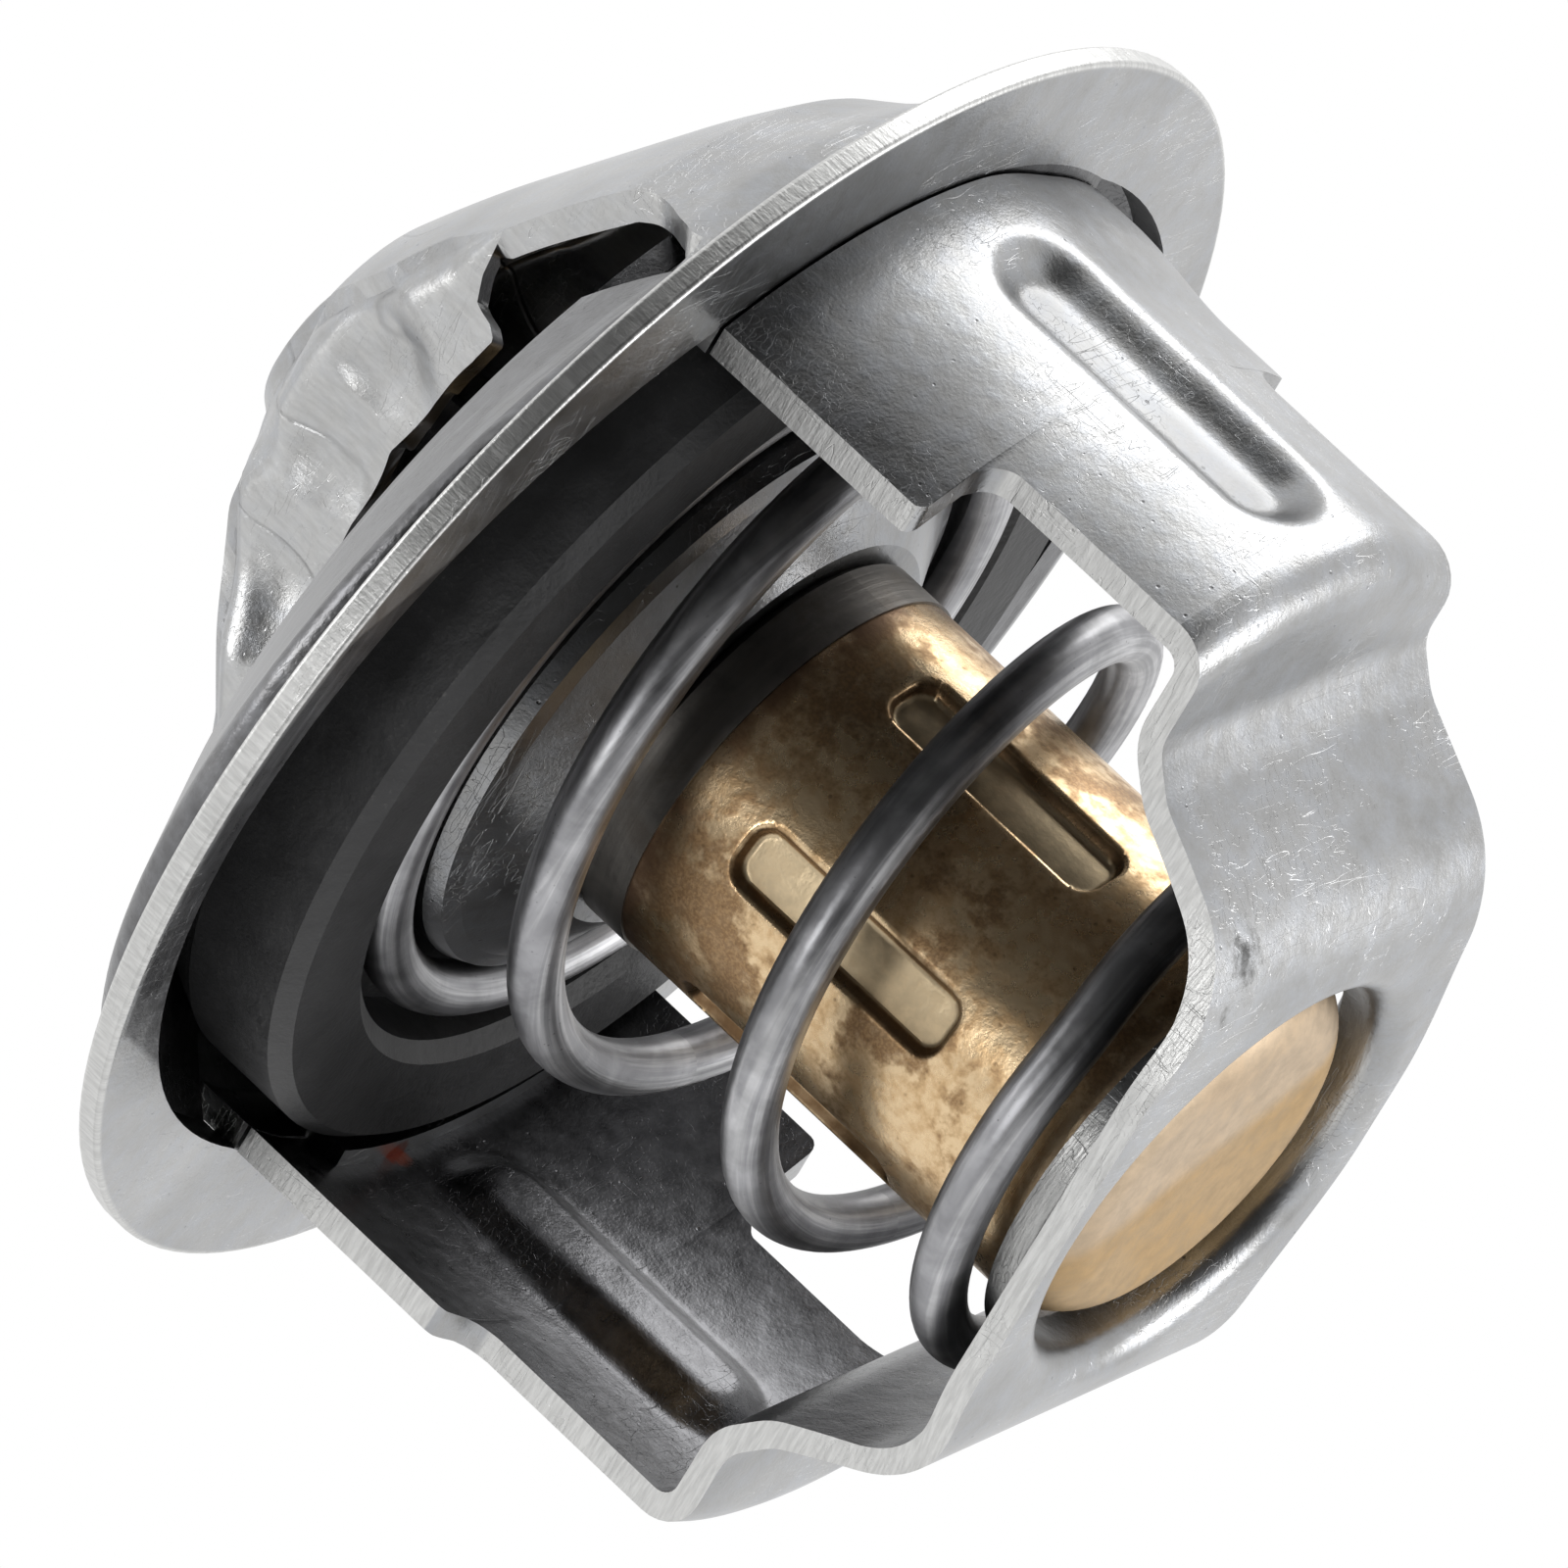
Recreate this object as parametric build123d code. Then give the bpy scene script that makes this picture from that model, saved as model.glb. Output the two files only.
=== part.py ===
from build123d import *
from math import atan2, cos, hypot, pi, radians, sin, sqrt, tan
import os

# Engine coolant regulating valve with a wax element, 54 mm flange.
# Origin on the axis at the under face of the rim, +Z towards the bridge.
# The legs of the lower frame stand on the X axis. Lengths in millimetres.
os.makedirs("parts", exist_ok=True)

# Sheet and wire
sheet = 1.0
wire_dia = 2.0
weld_gap = 0.05
run_clear = 0.06
moving_gap = 0.35
tiny = 0.02

# Flange plate
rim_radius = 27.0
rim_land = 1.8
pan_wall_top = 1.5
seat_under = 3.9
seat_width = 2.1
slot_half = 11.45
rim_edge_round = 0.2
pan_round = 0.9

# Wall and legs
wall_outer = 22.5
wall_inner = wall_outer - sheet
leg_wide = 11.3
leg_narrow = 8.0
leg_step_z = -9.7
step_fillet = 1.4
elbow_z = -20.2
elbow_round = 1.6
leg_top = -0.12
tongue_half = 6.5
tongue_thick = 0.7
tongue_top = 1.45
tongue_root = -1.6
edge_soft = 0.25

# Base of the lower frame
shelf_round = 1.6
bowl_drop = 1.2
bowl_knee_in = 1.4
bowl_slope = 60.0
bowl_round = 3.0
bowl_clear = 0.96
base_under = -27.3
base_mid_half = 9.8
plan_top_half = 3.0
lip_height = 2.4
lip_thick = 0.75
lip_round = 1.3

# Ribs pressed into the legs
rib_half = 2.6
rib_top = -2.9
rib_bottom = -17.4
rib_depth = 0.75

# Upper bridge
foot_half = 11.4
foot_upper_half = 9.3
foot_wall_z = 2.6
foot_step_z = 4.9
foot_lean_in = 0.6
foot_lean_z = 4.0
strap_half = 7.0
boss_half = 4.6
bridge_shoulder_z = 5.6
bridge_shoulder_in = 2.0
bridge_cone_in = 3.1
bridge_cone_z1 = 7.0
bridge_cone_r2 = 6.2
bridge_cone_z2 = 16.1
boss_radius = 4.3
boss_top = 17.5
boss_round = 1.0
arch_foot_in = 2.6
arch_mid_x = 14.6
arch_top_x = 12.4
arch_top_z = 9.6
arch_notch_x = 8.4
arch_notch_z = 8.7
arch_crown_x = 2.4
arch_crown_z = 10.9

# Wax element
cup_radius = 7.85
cup_wall = 0.8
cup_top = -6.0
dome_inset = 1.0
cup_bottom = base_under + dome_inset
dome_round = 2.6
pocket_count = 6
pocket_first = -76.0
pocket_top = -8.9
pocket_bottom = -18.9
pocket_width = 2.7
pocket_depth = 0.6
hole_radius = cup_radius + moving_gap

# Guide, piston and what is inside the cup
guide_flange_z = -7.4
guide_flange_r = cup_radius - cup_wall
hub_radius = 6.0
hub_top = 2.6
neck_radius = 3.6
neck_top = 9.4
piston_radius = 1.9
piston_low = -5.0
washer_thick = 0.6
plug_length = 4.0
diaphragm_thick = 0.8
diaphragm_depth = 9.0
diaphragm_radius = 3.2

# Valve plate, seal, spring cup and collar
plate_under = 0.9
travel_gap = 0.45
seal_outer = wall_inner - weld_gap - tongue_thick - travel_gap
seal_width = 4.4
seal_low = -2.0
seal_skin = 0.6
plate_outer = seal_outer - sheet
lip_inner = seal_outer - seal_width / 2
seal_inner = seal_outer - seal_width
seat_gap = 0.05
shoulder_in = 0.6
pan_shoulder = seal_outer - shoulder_in
seat_bore = pan_shoulder - seat_width
cup_rim_z = -1.9
cup_hub_z = -3.7
collar_step = 0.1
dish_in = 0.6
collar_outer = cup_radius + collar_step

# Main spring
wire_radius = wire_dia / 2
coil_gap = 0.9
coil_top_r = seal_inner - coil_gap - wire_radius
coil_seat = 0.4
cup_rim_r = coil_top_r - wire_radius - coil_seat
coil_low_gap = 0.08
coil_low_r = hole_radius + lip_thick + coil_low_gap + wire_radius
coil_mid_r = (coil_low_r + coil_top_r) / 2
spring_start = 34.6
spring_closed_drop = 2.05
spring_pitch = 9.4
spring_turn_step = 1 / 24


def ring(outer, inner, low, high):
    body = Cylinder(outer, high - low, align=(Align.CENTER, Align.CENTER, Align.MIN))
    if inner > 0:
        bore = Cylinder(inner, high - low, align=(Align.CENTER, Align.CENTER, Align.MIN))
        body = body - bore
    return Pos(0, 0, low) * body


def block(x_low, x_high, y_low, y_high, z_low, z_high):
    body = Box(x_high - x_low, y_high - y_low, z_high - z_low,
               align=(Align.MIN, Align.MIN, Align.MIN))
    return Pos(x_low, y_low, z_low) * body


def turned(points):
    wires = Polyline(*[(r, 0, z) for r, z in points], close=True)
    return revolve(make_face(wires), Axis.Z)


def across(points, half):
    wires = Polyline(*[(x, 0, z) for x, z in points], close=True)
    face = make_face(wires)
    return extrude(face, amount=half, dir=(0, 1, 0), both=True)


def section(points, rounds, half):
    """Sheet section drawn in X and Z, with rounded corners, run along Y."""
    face = make_face(Polyline(*points, close=True))
    for corner, radius in rounds:
        spot = face.vertices().sort_by_distance(Vector(corner[0], corner[1], 0))[0]
        face = fillet(spot, radius)
    return Rot(90, 0, 0) * extrude(face, amount=half, both=True)


def rounded_turn(points, rounds):
    """Ring whose section has rounded corners."""
    face = make_face(Polyline(*points, close=True))
    for corner, radius in rounds:
        spot = face.vertices().sort_by_distance(Vector(corner[0], corner[1], 0))[0]
        face = fillet(spot, radius)
    return revolve(Rot(90, 0, 0) * face, Axis.Z)


def offset_line(points, gap):
    shifted = []
    count = len(points)
    for i in range(count):
        before = points[max(i - 1, 0)]
        after = points[min(i + 1, count - 1)]
        here = points[i]
        d1 = (here[0] - before[0], here[1] - before[1])
        d2 = (after[0] - here[0], after[1] - here[1])
        if i == 0:
            d1 = d2
        if i == count - 1:
            d2 = d1
        l1 = hypot(*d1)
        l2 = hypot(*d2)
        n1 = (-d1[1] / l1, d1[0] / l1)
        n2 = (-d2[1] / l2, d2[0] / l2)
        mid = (n1[0] + n2[0], n1[1] + n2[1])
        size = hypot(*mid)
        mid = (mid[0] / size, mid[1] / size)
        reach = gap / max(mid[0] * n1[0] + mid[1] * n1[1], 0.3)
        shifted.append((here[0] + mid[0] * reach, here[1] + mid[1] * reach))
    return shifted


# Flange plate: flat rim, drawn pan with an oval wall, seat and slots for the bridge feet
seat_top = seat_under + sheet
pan_long = rim_radius - rim_land
pan_short = sqrt(wall_outer ** 2 - slot_half ** 2) / sqrt(1 - (slot_half / pan_long) ** 2)
rim_disc = ring(rim_radius, 0, 0, sheet)
rim_edges = [e for e in rim_disc.edges() if e.geom_type == GeomType.CIRCLE]
rim_disc = fillet(rim_edges, rim_edge_round)


def pan_form(grow, wall_top, roof_z):
    oval = Ellipse(pan_short + grow, pan_long + grow)
    wall = extrude(oval, amount=wall_top)
    roof = Pos(0, 0, roof_z) * Circle(pan_shoulder + grow * 0.4)
    cone = loft([Pos(0, 0, wall_top) * oval, roof])
    return wall + cone


pan_outer = pan_form(sheet, pan_wall_top + sheet * 0.5, seat_top)
pan_edges = [e for e in pan_outer.edges() if abs(e.center().Z - pan_wall_top - sheet * 0.5) < tiny]
pan_outer = fillet(pan_edges, pan_round)
pan_inner = pan_form(0, pan_wall_top, seat_under)
shell = rim_disc + pan_outer
leg_lane = block(-rim_radius, rim_radius, -slot_half, slot_half, sheet, seat_top + sheet)
foot_lane = leg_lane & ring(rim_radius, pan_shoulder - tiny, 0, seat_top + sheet)
slot_cut = block(-wall_outer, wall_outer, -slot_half, slot_half, -sheet, seat_under)
slot_cut = slot_cut & ring(wall_outer, 0, -sheet, seat_under)
seat_hole = ring(seat_bore, 0, -sheet, seat_top + sheet)
flange_plate = shell - pan_inner - foot_lane - slot_cut - seat_hole
bore_edges = [e for e in flange_plate.edges()
              if e.geom_type == GeomType.CIRCLE and abs(e.radius - seat_bore) < tiny]
flange_plate = fillet(bore_edges, edge_soft)

# Lower frame: two legs, a dished strap below and the ring round the cup
height_of_legs = leg_top - elbow_z
leg_shell = ring(wall_outer, wall_inner, elbow_z, leg_top)
narrow_lane = block(-rim_radius, rim_radius, -leg_narrow, leg_narrow, elbow_z, leg_top)
wide_lane = block(-rim_radius, rim_radius, -leg_wide, leg_wide, leg_step_z, leg_top)
lane = narrow_lane + wide_lane
inner_corners = [e for e in lane.edges()
                 if abs(abs(e.center().Y) - leg_narrow) < tiny
                 and abs(e.center().Z - leg_step_z) < tiny]
lane = fillet(inner_corners, step_fillet)
legs = leg_shell & lane

lip_outer = hole_radius + lip_thick
flat_x = coil_low_r + wire_radius + bowl_clear
knee_z = elbow_z - bowl_drop
knee_x = flat_x + (knee_z - base_under) / tan(radians(bowl_slope))
shelf_x = knee_x + bowl_knee_in
base_upper = base_under + sheet
right_under = [(flat_x, base_under), (knee_x, knee_z), (shelf_x, elbow_z), (wall_outer, elbow_z)]
under_line = [(-x, z) for x, z in right_under[::-1]] + right_under
upper_line = offset_line(under_line, sheet)
rounds = []
for x, z in ((flat_x, base_under), (-flat_x, base_under)):
    rounds.append(((x, z), bowl_round))
for x, z in (upper_line[3], upper_line[4]):
    rounds.append(((x, z), bowl_round - sheet))
for x, z in (under_line[1], under_line[6]):
    rounds.append(((x, z), shelf_round))
for x, z in (upper_line[1], upper_line[6]):
    rounds.append(((x, z), shelf_round + sheet))
strap = section(under_line + upper_line[::-1], rounds, base_mid_half)
plan = Polyline(
    (-wall_outer, -leg_narrow), (-flat_x, -leg_narrow), (-plan_top_half, -base_mid_half),
    (plan_top_half, -base_mid_half), (flat_x, -leg_narrow), (wall_outer, -leg_narrow),
    (wall_outer, leg_narrow), (flat_x, leg_narrow), (plan_top_half, base_mid_half),
    (-plan_top_half, base_mid_half), (-flat_x, leg_narrow), (-wall_outer, leg_narrow),
    close=True)
plan_face = make_face(plan)
plan_corners = [v for v in plan_face.vertices() if abs(abs(v.X) - wall_outer) > sheet]
plan_rise = base_mid_half - leg_narrow
plan_run = hypot(flat_x - plan_top_half, plan_rise)
plan_turn = atan2(plan_rise, flat_x - plan_top_half)
plan_reach = (min(plan_run, plan_top_half * 2) - edge_soft) / 2
plan_face = fillet(plan_corners, plan_reach / tan(plan_turn / 2))
plan_prism = Pos(0, 0, base_under) * extrude(plan_face, amount=-base_under)
round_prism = ring(wall_outer, 0, base_under, leg_top)
strap = strap & plan_prism & round_prism
lip_top = base_under + lip_height
lip = rounded_turn(
    [(hole_radius, lip_top), (hole_radius, base_under), (lip_outer + sheet * 0.7, base_under),
     (lip_outer + sheet * 0.7, base_upper), (lip_outer, base_upper), (lip_outer, lip_top)],
    [((hole_radius, base_under), lip_round), ((lip_outer, base_upper), 0.2)])
hole_cut = ring(lip_outer + sheet * 0.7, 0, base_under - sheet, leg_top)
side_trim = block(-wall_outer, wall_outer, -base_mid_half, base_mid_half, base_under, leg_top)
lower_frame = legs + (strap - hole_cut) + (lip & side_trim)
outer_elbow = [e for e in lower_frame.edges()
               if abs(e.center().Z - elbow_z) < tiny and abs(e.center().X) > wall_inner - sheet
               and e.length > leg_narrow]
lower_frame = fillet(outer_elbow, elbow_round)
inner_elbow = [e for e in lower_frame.edges()
               if abs(e.center().Z - elbow_z - sheet) < tiny and abs(e.center().X) > wall_inner - sheet * 2
               and e.length > leg_narrow]
lower_frame = fillet(inner_elbow, elbow_round - sheet)
for side in (-1, 1):
    tongue = ring(wall_inner - weld_gap, wall_inner - weld_gap - tongue_thick, tongue_root, tongue_top)
    root = ring(wall_inner + tiny, wall_inner - weld_gap - tongue_thick, tongue_root, leg_top)
    half_lane = block(min(0, side * rim_radius), max(0, side * rim_radius),
                      -tongue_half, tongue_half, tongue_root, tongue_top)
    lower_frame = lower_frame + ((tongue + root) & half_lane)
    rib_centre = (rib_top + rib_bottom) / 2
    rib_length = rib_top - rib_bottom
    slot_face = Plane(origin=(side * rim_radius, 0, rib_centre), x_dir=(0, 0, 1),
                      z_dir=(-side, 0, 0)) * SlotOverall(rib_length, 2 * rib_half)
    slot_out = extrude(slot_face, amount=rim_radius - hole_radius)
    inner_face = Plane(origin=(side * rim_radius, 0, rib_centre), x_dir=(0, 0, 1),
                       z_dir=(-side, 0, 0)) * SlotOverall(rib_length + sheet, 2 * rib_half + sheet)
    slot_in = extrude(inner_face, amount=rim_radius - hole_radius)
    ridge = ring(wall_outer - sheet * 0.5, wall_inner - rib_depth, rib_bottom - sheet, rib_top + sheet)
    lower_frame = lower_frame + (ridge & slot_in)
    groove = ring(rim_radius, wall_outer - rib_depth, rib_bottom - sheet, rib_top + sheet)
    lower_frame = lower_frame - (groove & slot_out)

# Upper bridge: conical strap with turned down sides and a boss for the piston
bridge_out = [
    (wall_outer, 0),
    (wall_outer, foot_wall_z),
    (wall_outer - foot_lean_in, foot_lean_z),
    (wall_outer - bridge_shoulder_in, bridge_shoulder_z),
    (wall_outer - bridge_cone_in, bridge_cone_z1),
    (bridge_cone_r2, bridge_cone_z2),
    (boss_radius, bridge_cone_z2 + sheet * 0.4),
    (boss_radius - sheet * 0.3, boss_top - boss_round),
    (boss_radius - boss_round, boss_top),
]
boss_inner = boss_top - sheet
bridge_in = [(max(r, 0), z) for r, z in offset_line(bridge_out, sheet)]
bridge_in[0] = (wall_inner, 0)
bridge_in[-1] = (boss_radius - boss_round - sheet * 0.6, boss_inner)
outer_form = turned(bridge_out + [(0, boss_top), (0, 0)])
inner_form = turned(bridge_in + [(0, boss_inner), (0, 0)])
foot_corner = sqrt(wall_inner ** 2 - foot_half ** 2)
quarter = [
    (wall_outer, foot_half), (foot_corner, foot_half), (arch_mid_x, strap_half),
    (arch_notch_x, strap_half), (boss_radius, boss_half + sheet),
]
bridge_plan = Polyline(
    *quarter,
    *[(-x, y) for x, y in quarter[::-1]],
    *[(-x, -y) for x, y in quarter],
    *[(x, -y) for x, y in quarter[::-1]],
    close=True)
bridge_face = make_face(bridge_plan)
plan_solid = extrude(bridge_face, amount=boss_top + sheet)
core_face = offset(bridge_face, amount=-sheet, kind=Kind.INTERSECTION)
core_solid = extrude(core_face, amount=boss_top + sheet)
skin = (outer_form - inner_form) & plan_solid
sides = (outer_form & plan_solid) - core_solid
arch_foot_x = wall_outer - arch_foot_in
arch_right = [
    (arch_crown_x, arch_crown_z),
    (arch_crown_x * 2.2, arch_crown_z - sheet),
    (arch_notch_x, arch_notch_z),
    (arch_notch_x + sheet * 2.0, arch_notch_z - sheet * 0.4),
    (arch_notch_x + sheet * 2.6, arch_top_z - sheet * 0.8),
    (arch_top_x, arch_top_z),
    (arch_top_x + sheet * 1.3, arch_top_z - sheet * 0.3),
    (arch_mid_x, arch_top_z - sheet * 1.1),
    (arch_mid_x + sheet * 1.8, arch_top_z - sheet * 2.3),
    (arch_foot_x - sheet * 1.9, arch_top_z - sheet * 3.4),
    (arch_foot_x - sheet * 0.9, bridge_shoulder_z - sheet * 0.4),
    (arch_foot_x, foot_lean_z - sheet * 0.6),
    (arch_foot_x, -sheet),
]
arch_left = [(-x, z) for x, z in arch_right[::-1]]
foot_inner = ring(wall_inner, 0, -sheet, boss_top)
window = across(arch_left + arch_right, rim_radius) & foot_inner
upper_bridge = skin + (sides - window)
foot_trim = block(-wall_outer, wall_outer, foot_upper_half, rim_radius, foot_step_z, boss_top)
upper_bridge = upper_bridge - foot_trim - mirror(foot_trim, Plane.XZ)
inside_foot = turned(bridge_in[:4] + [(0, bridge_in[3][1]), (0, 0)])
seat_space = inside_foot & ring(wall_outer, 0, 0, bridge_in[3][1])
upper_bridge = upper_bridge - seat_space

# Piston and what it pushes on
piston_body = ring(piston_radius, 0, piston_low, boss_inner)
piston_ends = [e for e in piston_body.edges() if e.geom_type == GeomType.CIRCLE]
piston = fillet(piston_ends, edge_soft)
plug_washer = ring(piston_radius, 0, piston_low - washer_thick, piston_low)
plug_top = piston_low - washer_thick
rubber_plug = ring(piston_radius, 0, plug_top - plug_length, plug_top)

# Guide: flange held in the cup, hub and neck with the bore for the piston
bore_radius = piston_radius + run_clear
guide = turned([
    (bore_radius, guide_flange_z),
    (guide_flange_r, guide_flange_z),
    (guide_flange_r, cup_top),
    (hub_radius, cup_top),
    (hub_radius, hub_top),
    (neck_radius + sheet, hub_top),
    (neck_radius, hub_top + sheet),
    (neck_radius, neck_top - sheet * 0.5),
    (neck_radius - sheet * 0.5, neck_top),
    (bore_radius, neck_top),
])

# Brass cup with pressed pockets
cup_body = ring(cup_radius, 0, cup_bottom, cup_top)
dome_edge = [e for e in cup_body.edges() if abs(e.center().Z - cup_bottom) < tiny]
cup_body = fillet(dome_edge, dome_round)
cup_core = ring(guide_flange_r, 0, cup_bottom + cup_wall + pocket_depth, cup_top)
core_edge = [e for e in cup_core.edges() if abs(e.center().Z - cup_bottom - cup_wall - pocket_depth) < tiny]
cup_core = fillet(core_edge, dome_round - cup_wall)
pocket_outs = []
pocket_ins = []
pocket_mid = (pocket_top + pocket_bottom) / 2
pocket_len = pocket_top - pocket_bottom
pocket_floor = cup_radius - pocket_depth
for k in range(pocket_count):
    angle = pocket_first + 360 * k / pocket_count
    tool = extrude(Plane(origin=(pocket_floor, 0, pocket_mid), x_dir=(0, 0, 1), z_dir=(1, 0, 0))
                   * SlotOverall(pocket_len, pocket_width), amount=cup_wall + pocket_depth)
    bump = extrude(Plane(origin=(pocket_floor - cup_wall, 0, pocket_mid), x_dir=(0, 0, 1),
                         z_dir=(1, 0, 0))
                   * SlotOverall(pocket_len + cup_wall, pocket_width + cup_wall), amount=pocket_depth)
    pocket_outs.append(Rot(0, 0, angle) * tool)
    pocket_ins.append(Rot(0, 0, angle) * bump)
wax_cup = cup_body - cup_core
for bump in pocket_ins:
    wax_cup = wax_cup + (bump & cup_body)
for tool in pocket_outs:
    wax_cup = wax_cup - tool

# Rubber diaphragm: a bag hung from the guide that holds the plug
bag_top = guide_flange_z
bag_radius = diaphragm_radius
bag = turned([
    (guide_flange_r, bag_top),
    (guide_flange_r, bag_top - diaphragm_thick),
    (bag_radius, bag_top - diaphragm_thick),
    (bag_radius, bag_top - diaphragm_depth + diaphragm_thick),
    (bag_radius - diaphragm_thick, bag_top - diaphragm_depth),
    (0, bag_top - diaphragm_depth),
    (0, plug_top - plug_length),
    (piston_radius + run_clear, plug_top - plug_length),
    (piston_radius + run_clear, bag_top),
])
diaphragm = bag

# Wax charge fills the cup round the diaphragm
wax_low = cup_bottom + cup_wall + pocket_depth
wax_body = ring(guide_flange_r, 0, wax_low, bag_top - diaphragm_thick)
wax_edge = [e for e in wax_body.edges() if abs(e.center().Z - wax_low) < tiny]
wax_body = fillet(wax_edge, dome_round - cup_wall)
bag_form = ring(bag_radius, 0, bag_top - diaphragm_depth, bag_top)
wax_charge = wax_body - bag_form
for bump in pocket_ins:
    wax_charge = wax_charge - bump

# Valve plate, pressed disc with a hub round the guide
plate_top = plate_under + sheet
valve_plate = turned([
    (hub_radius, plate_under),
    (plate_outer, plate_under),
    (plate_outer, plate_top),
    (hub_radius + sheet, plate_top),
    (hub_radius + sheet, plate_top + sheet * 0.6),
    (hub_radius, plate_top + sheet * 0.6),
])

# Rubber seal moulded round the edge of the plate
seal_form = turned([
    (seal_inner, seal_low + seal_skin),
    (seal_inner + seal_skin, seal_low),
    (seal_outer - seal_skin, seal_low),
    (seal_outer, seal_low + seal_skin),
    (seal_outer, plate_top + seal_skin),
    (seal_outer - seal_skin, seat_under - seat_gap),
    (lip_inner + seal_skin, seat_under - seat_gap),
    (lip_inner, seat_under - seal_skin),
    (lip_inner - sheet, plate_top),
    (plate_outer, plate_top),
    (plate_outer, plate_under),
    (seal_inner, plate_under),
])
valve_seal = seal_form

# Dished spring cup that centres the top coil
spring_cup = turned([
    (hub_radius, plate_under),
    (hub_radius, cup_hub_z),
    (collar_outer + dish_in, cup_hub_z),
    (cup_rim_r - sheet, cup_rim_z),
    (cup_rim_r - sheet * 0.3, cup_rim_z + sheet * 0.25),
    (cup_rim_r, cup_rim_z + sheet * 0.9),
    (cup_rim_r - sheet * 0.1, plate_under),
    (cup_rim_r - sheet * 1.1, plate_under),
    (cup_rim_r - sheet * 1.1, cup_rim_z + sheet * 1.3),
    (collar_outer + dish_in, cup_hub_z + sheet),
    (hub_radius + sheet, cup_hub_z + sheet),
    (hub_radius + sheet, plate_under),
])

# Collar between the cup and the dished cup
retaining_collar = turned([
    (hub_radius, cup_top),
    (collar_outer, cup_top),
    (collar_outer, cup_hub_z - sheet * 0.3),
    (collar_outer - sheet * 0.3, cup_hub_z),
    (hub_radius, cup_hub_z),
])

# Main spring: closed top coil, open turns and a closed bottom coil
top_z = plate_under - wire_radius
low_z = base_upper + wire_radius
open_high = top_z - spring_closed_drop
open_low = low_z + spring_closed_drop
open_turns = (open_high - open_low) / spring_pitch
end_turns = 0.92
total_turns = end_turns + open_turns + end_turns
spring_points = []
for i in range(round(total_turns / spring_turn_step) + 1):
    turn = i * spring_turn_step
    angle = radians(spring_start - 360 * (turn - end_turns))
    if turn < end_turns:
        z = top_z - spring_closed_drop * (turn / end_turns) ** 1.6
    elif turn < end_turns + open_turns:
        z = open_high - spring_pitch * (turn - end_turns)
    else:
        left = max((total_turns - turn) / end_turns, 0)
        z = low_z + spring_closed_drop * left ** 1.6
    fall = min(max((turn - end_turns) / 0.55, 0), 1)
    r = coil_top_r - (coil_top_r - coil_mid_r) * (1 - cos(pi * fall)) / 2
    if turn > end_turns + 0.55:
        part = min((turn - end_turns - 0.55) / (open_turns + 0.3 - 0.55), 1)
        r = coil_mid_r - (coil_mid_r - coil_low_r) * part
    spring_points.append((r * cos(angle), r * sin(angle), z))
spring_path = Spline(*spring_points)
spring_end = Plane(origin=spring_path @ 0, z_dir=spring_path % 0)
main_spring = sweep(spring_end * Circle(wire_radius), path=spring_path, is_frenet=False)

pieces = {
    "flange_plate": flange_plate,
    "upper_bridge": upper_bridge,
    "lower_frame": lower_frame,
    "piston": piston,
    "plug_washer": plug_washer,
    "rubber_plug": rubber_plug,
    "piston_guide": guide,
    "wax_cup": wax_cup,
    "rubber_diaphragm": diaphragm,
    "wax_charge": wax_charge,
    "valve_plate": valve_plate,
    "valve_seal": valve_seal,
    "spring_cup": spring_cup,
    "retaining_collar": retaining_collar,
    "main_spring": main_spring,
}
for name, shape in pieces.items():
    export_step(shape, os.path.join("parts", name + ".step"))
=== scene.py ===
import math

import bpy
import numpy as np
from mathutils import Matrix, Vector


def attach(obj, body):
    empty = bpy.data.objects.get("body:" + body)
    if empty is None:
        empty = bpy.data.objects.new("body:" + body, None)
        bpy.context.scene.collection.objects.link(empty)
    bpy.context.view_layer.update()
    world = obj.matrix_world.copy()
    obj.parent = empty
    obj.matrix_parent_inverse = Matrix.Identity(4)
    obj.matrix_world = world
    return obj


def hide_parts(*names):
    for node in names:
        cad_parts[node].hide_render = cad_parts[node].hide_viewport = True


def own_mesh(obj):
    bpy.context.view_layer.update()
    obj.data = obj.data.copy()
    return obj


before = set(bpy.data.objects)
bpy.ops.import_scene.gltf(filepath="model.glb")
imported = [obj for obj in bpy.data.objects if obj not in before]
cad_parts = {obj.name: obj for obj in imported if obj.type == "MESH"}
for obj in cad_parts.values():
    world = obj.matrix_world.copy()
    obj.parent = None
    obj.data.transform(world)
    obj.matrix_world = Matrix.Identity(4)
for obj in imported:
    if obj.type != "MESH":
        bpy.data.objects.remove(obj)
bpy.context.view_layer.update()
scene = bpy.context.scene
MM = 0.001


# Mesh helpers, in millimetres
def smooth01(x):
    x = np.clip(x, 0.0, 1.0)
    return x * x * (3 - 2 * x)


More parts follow.
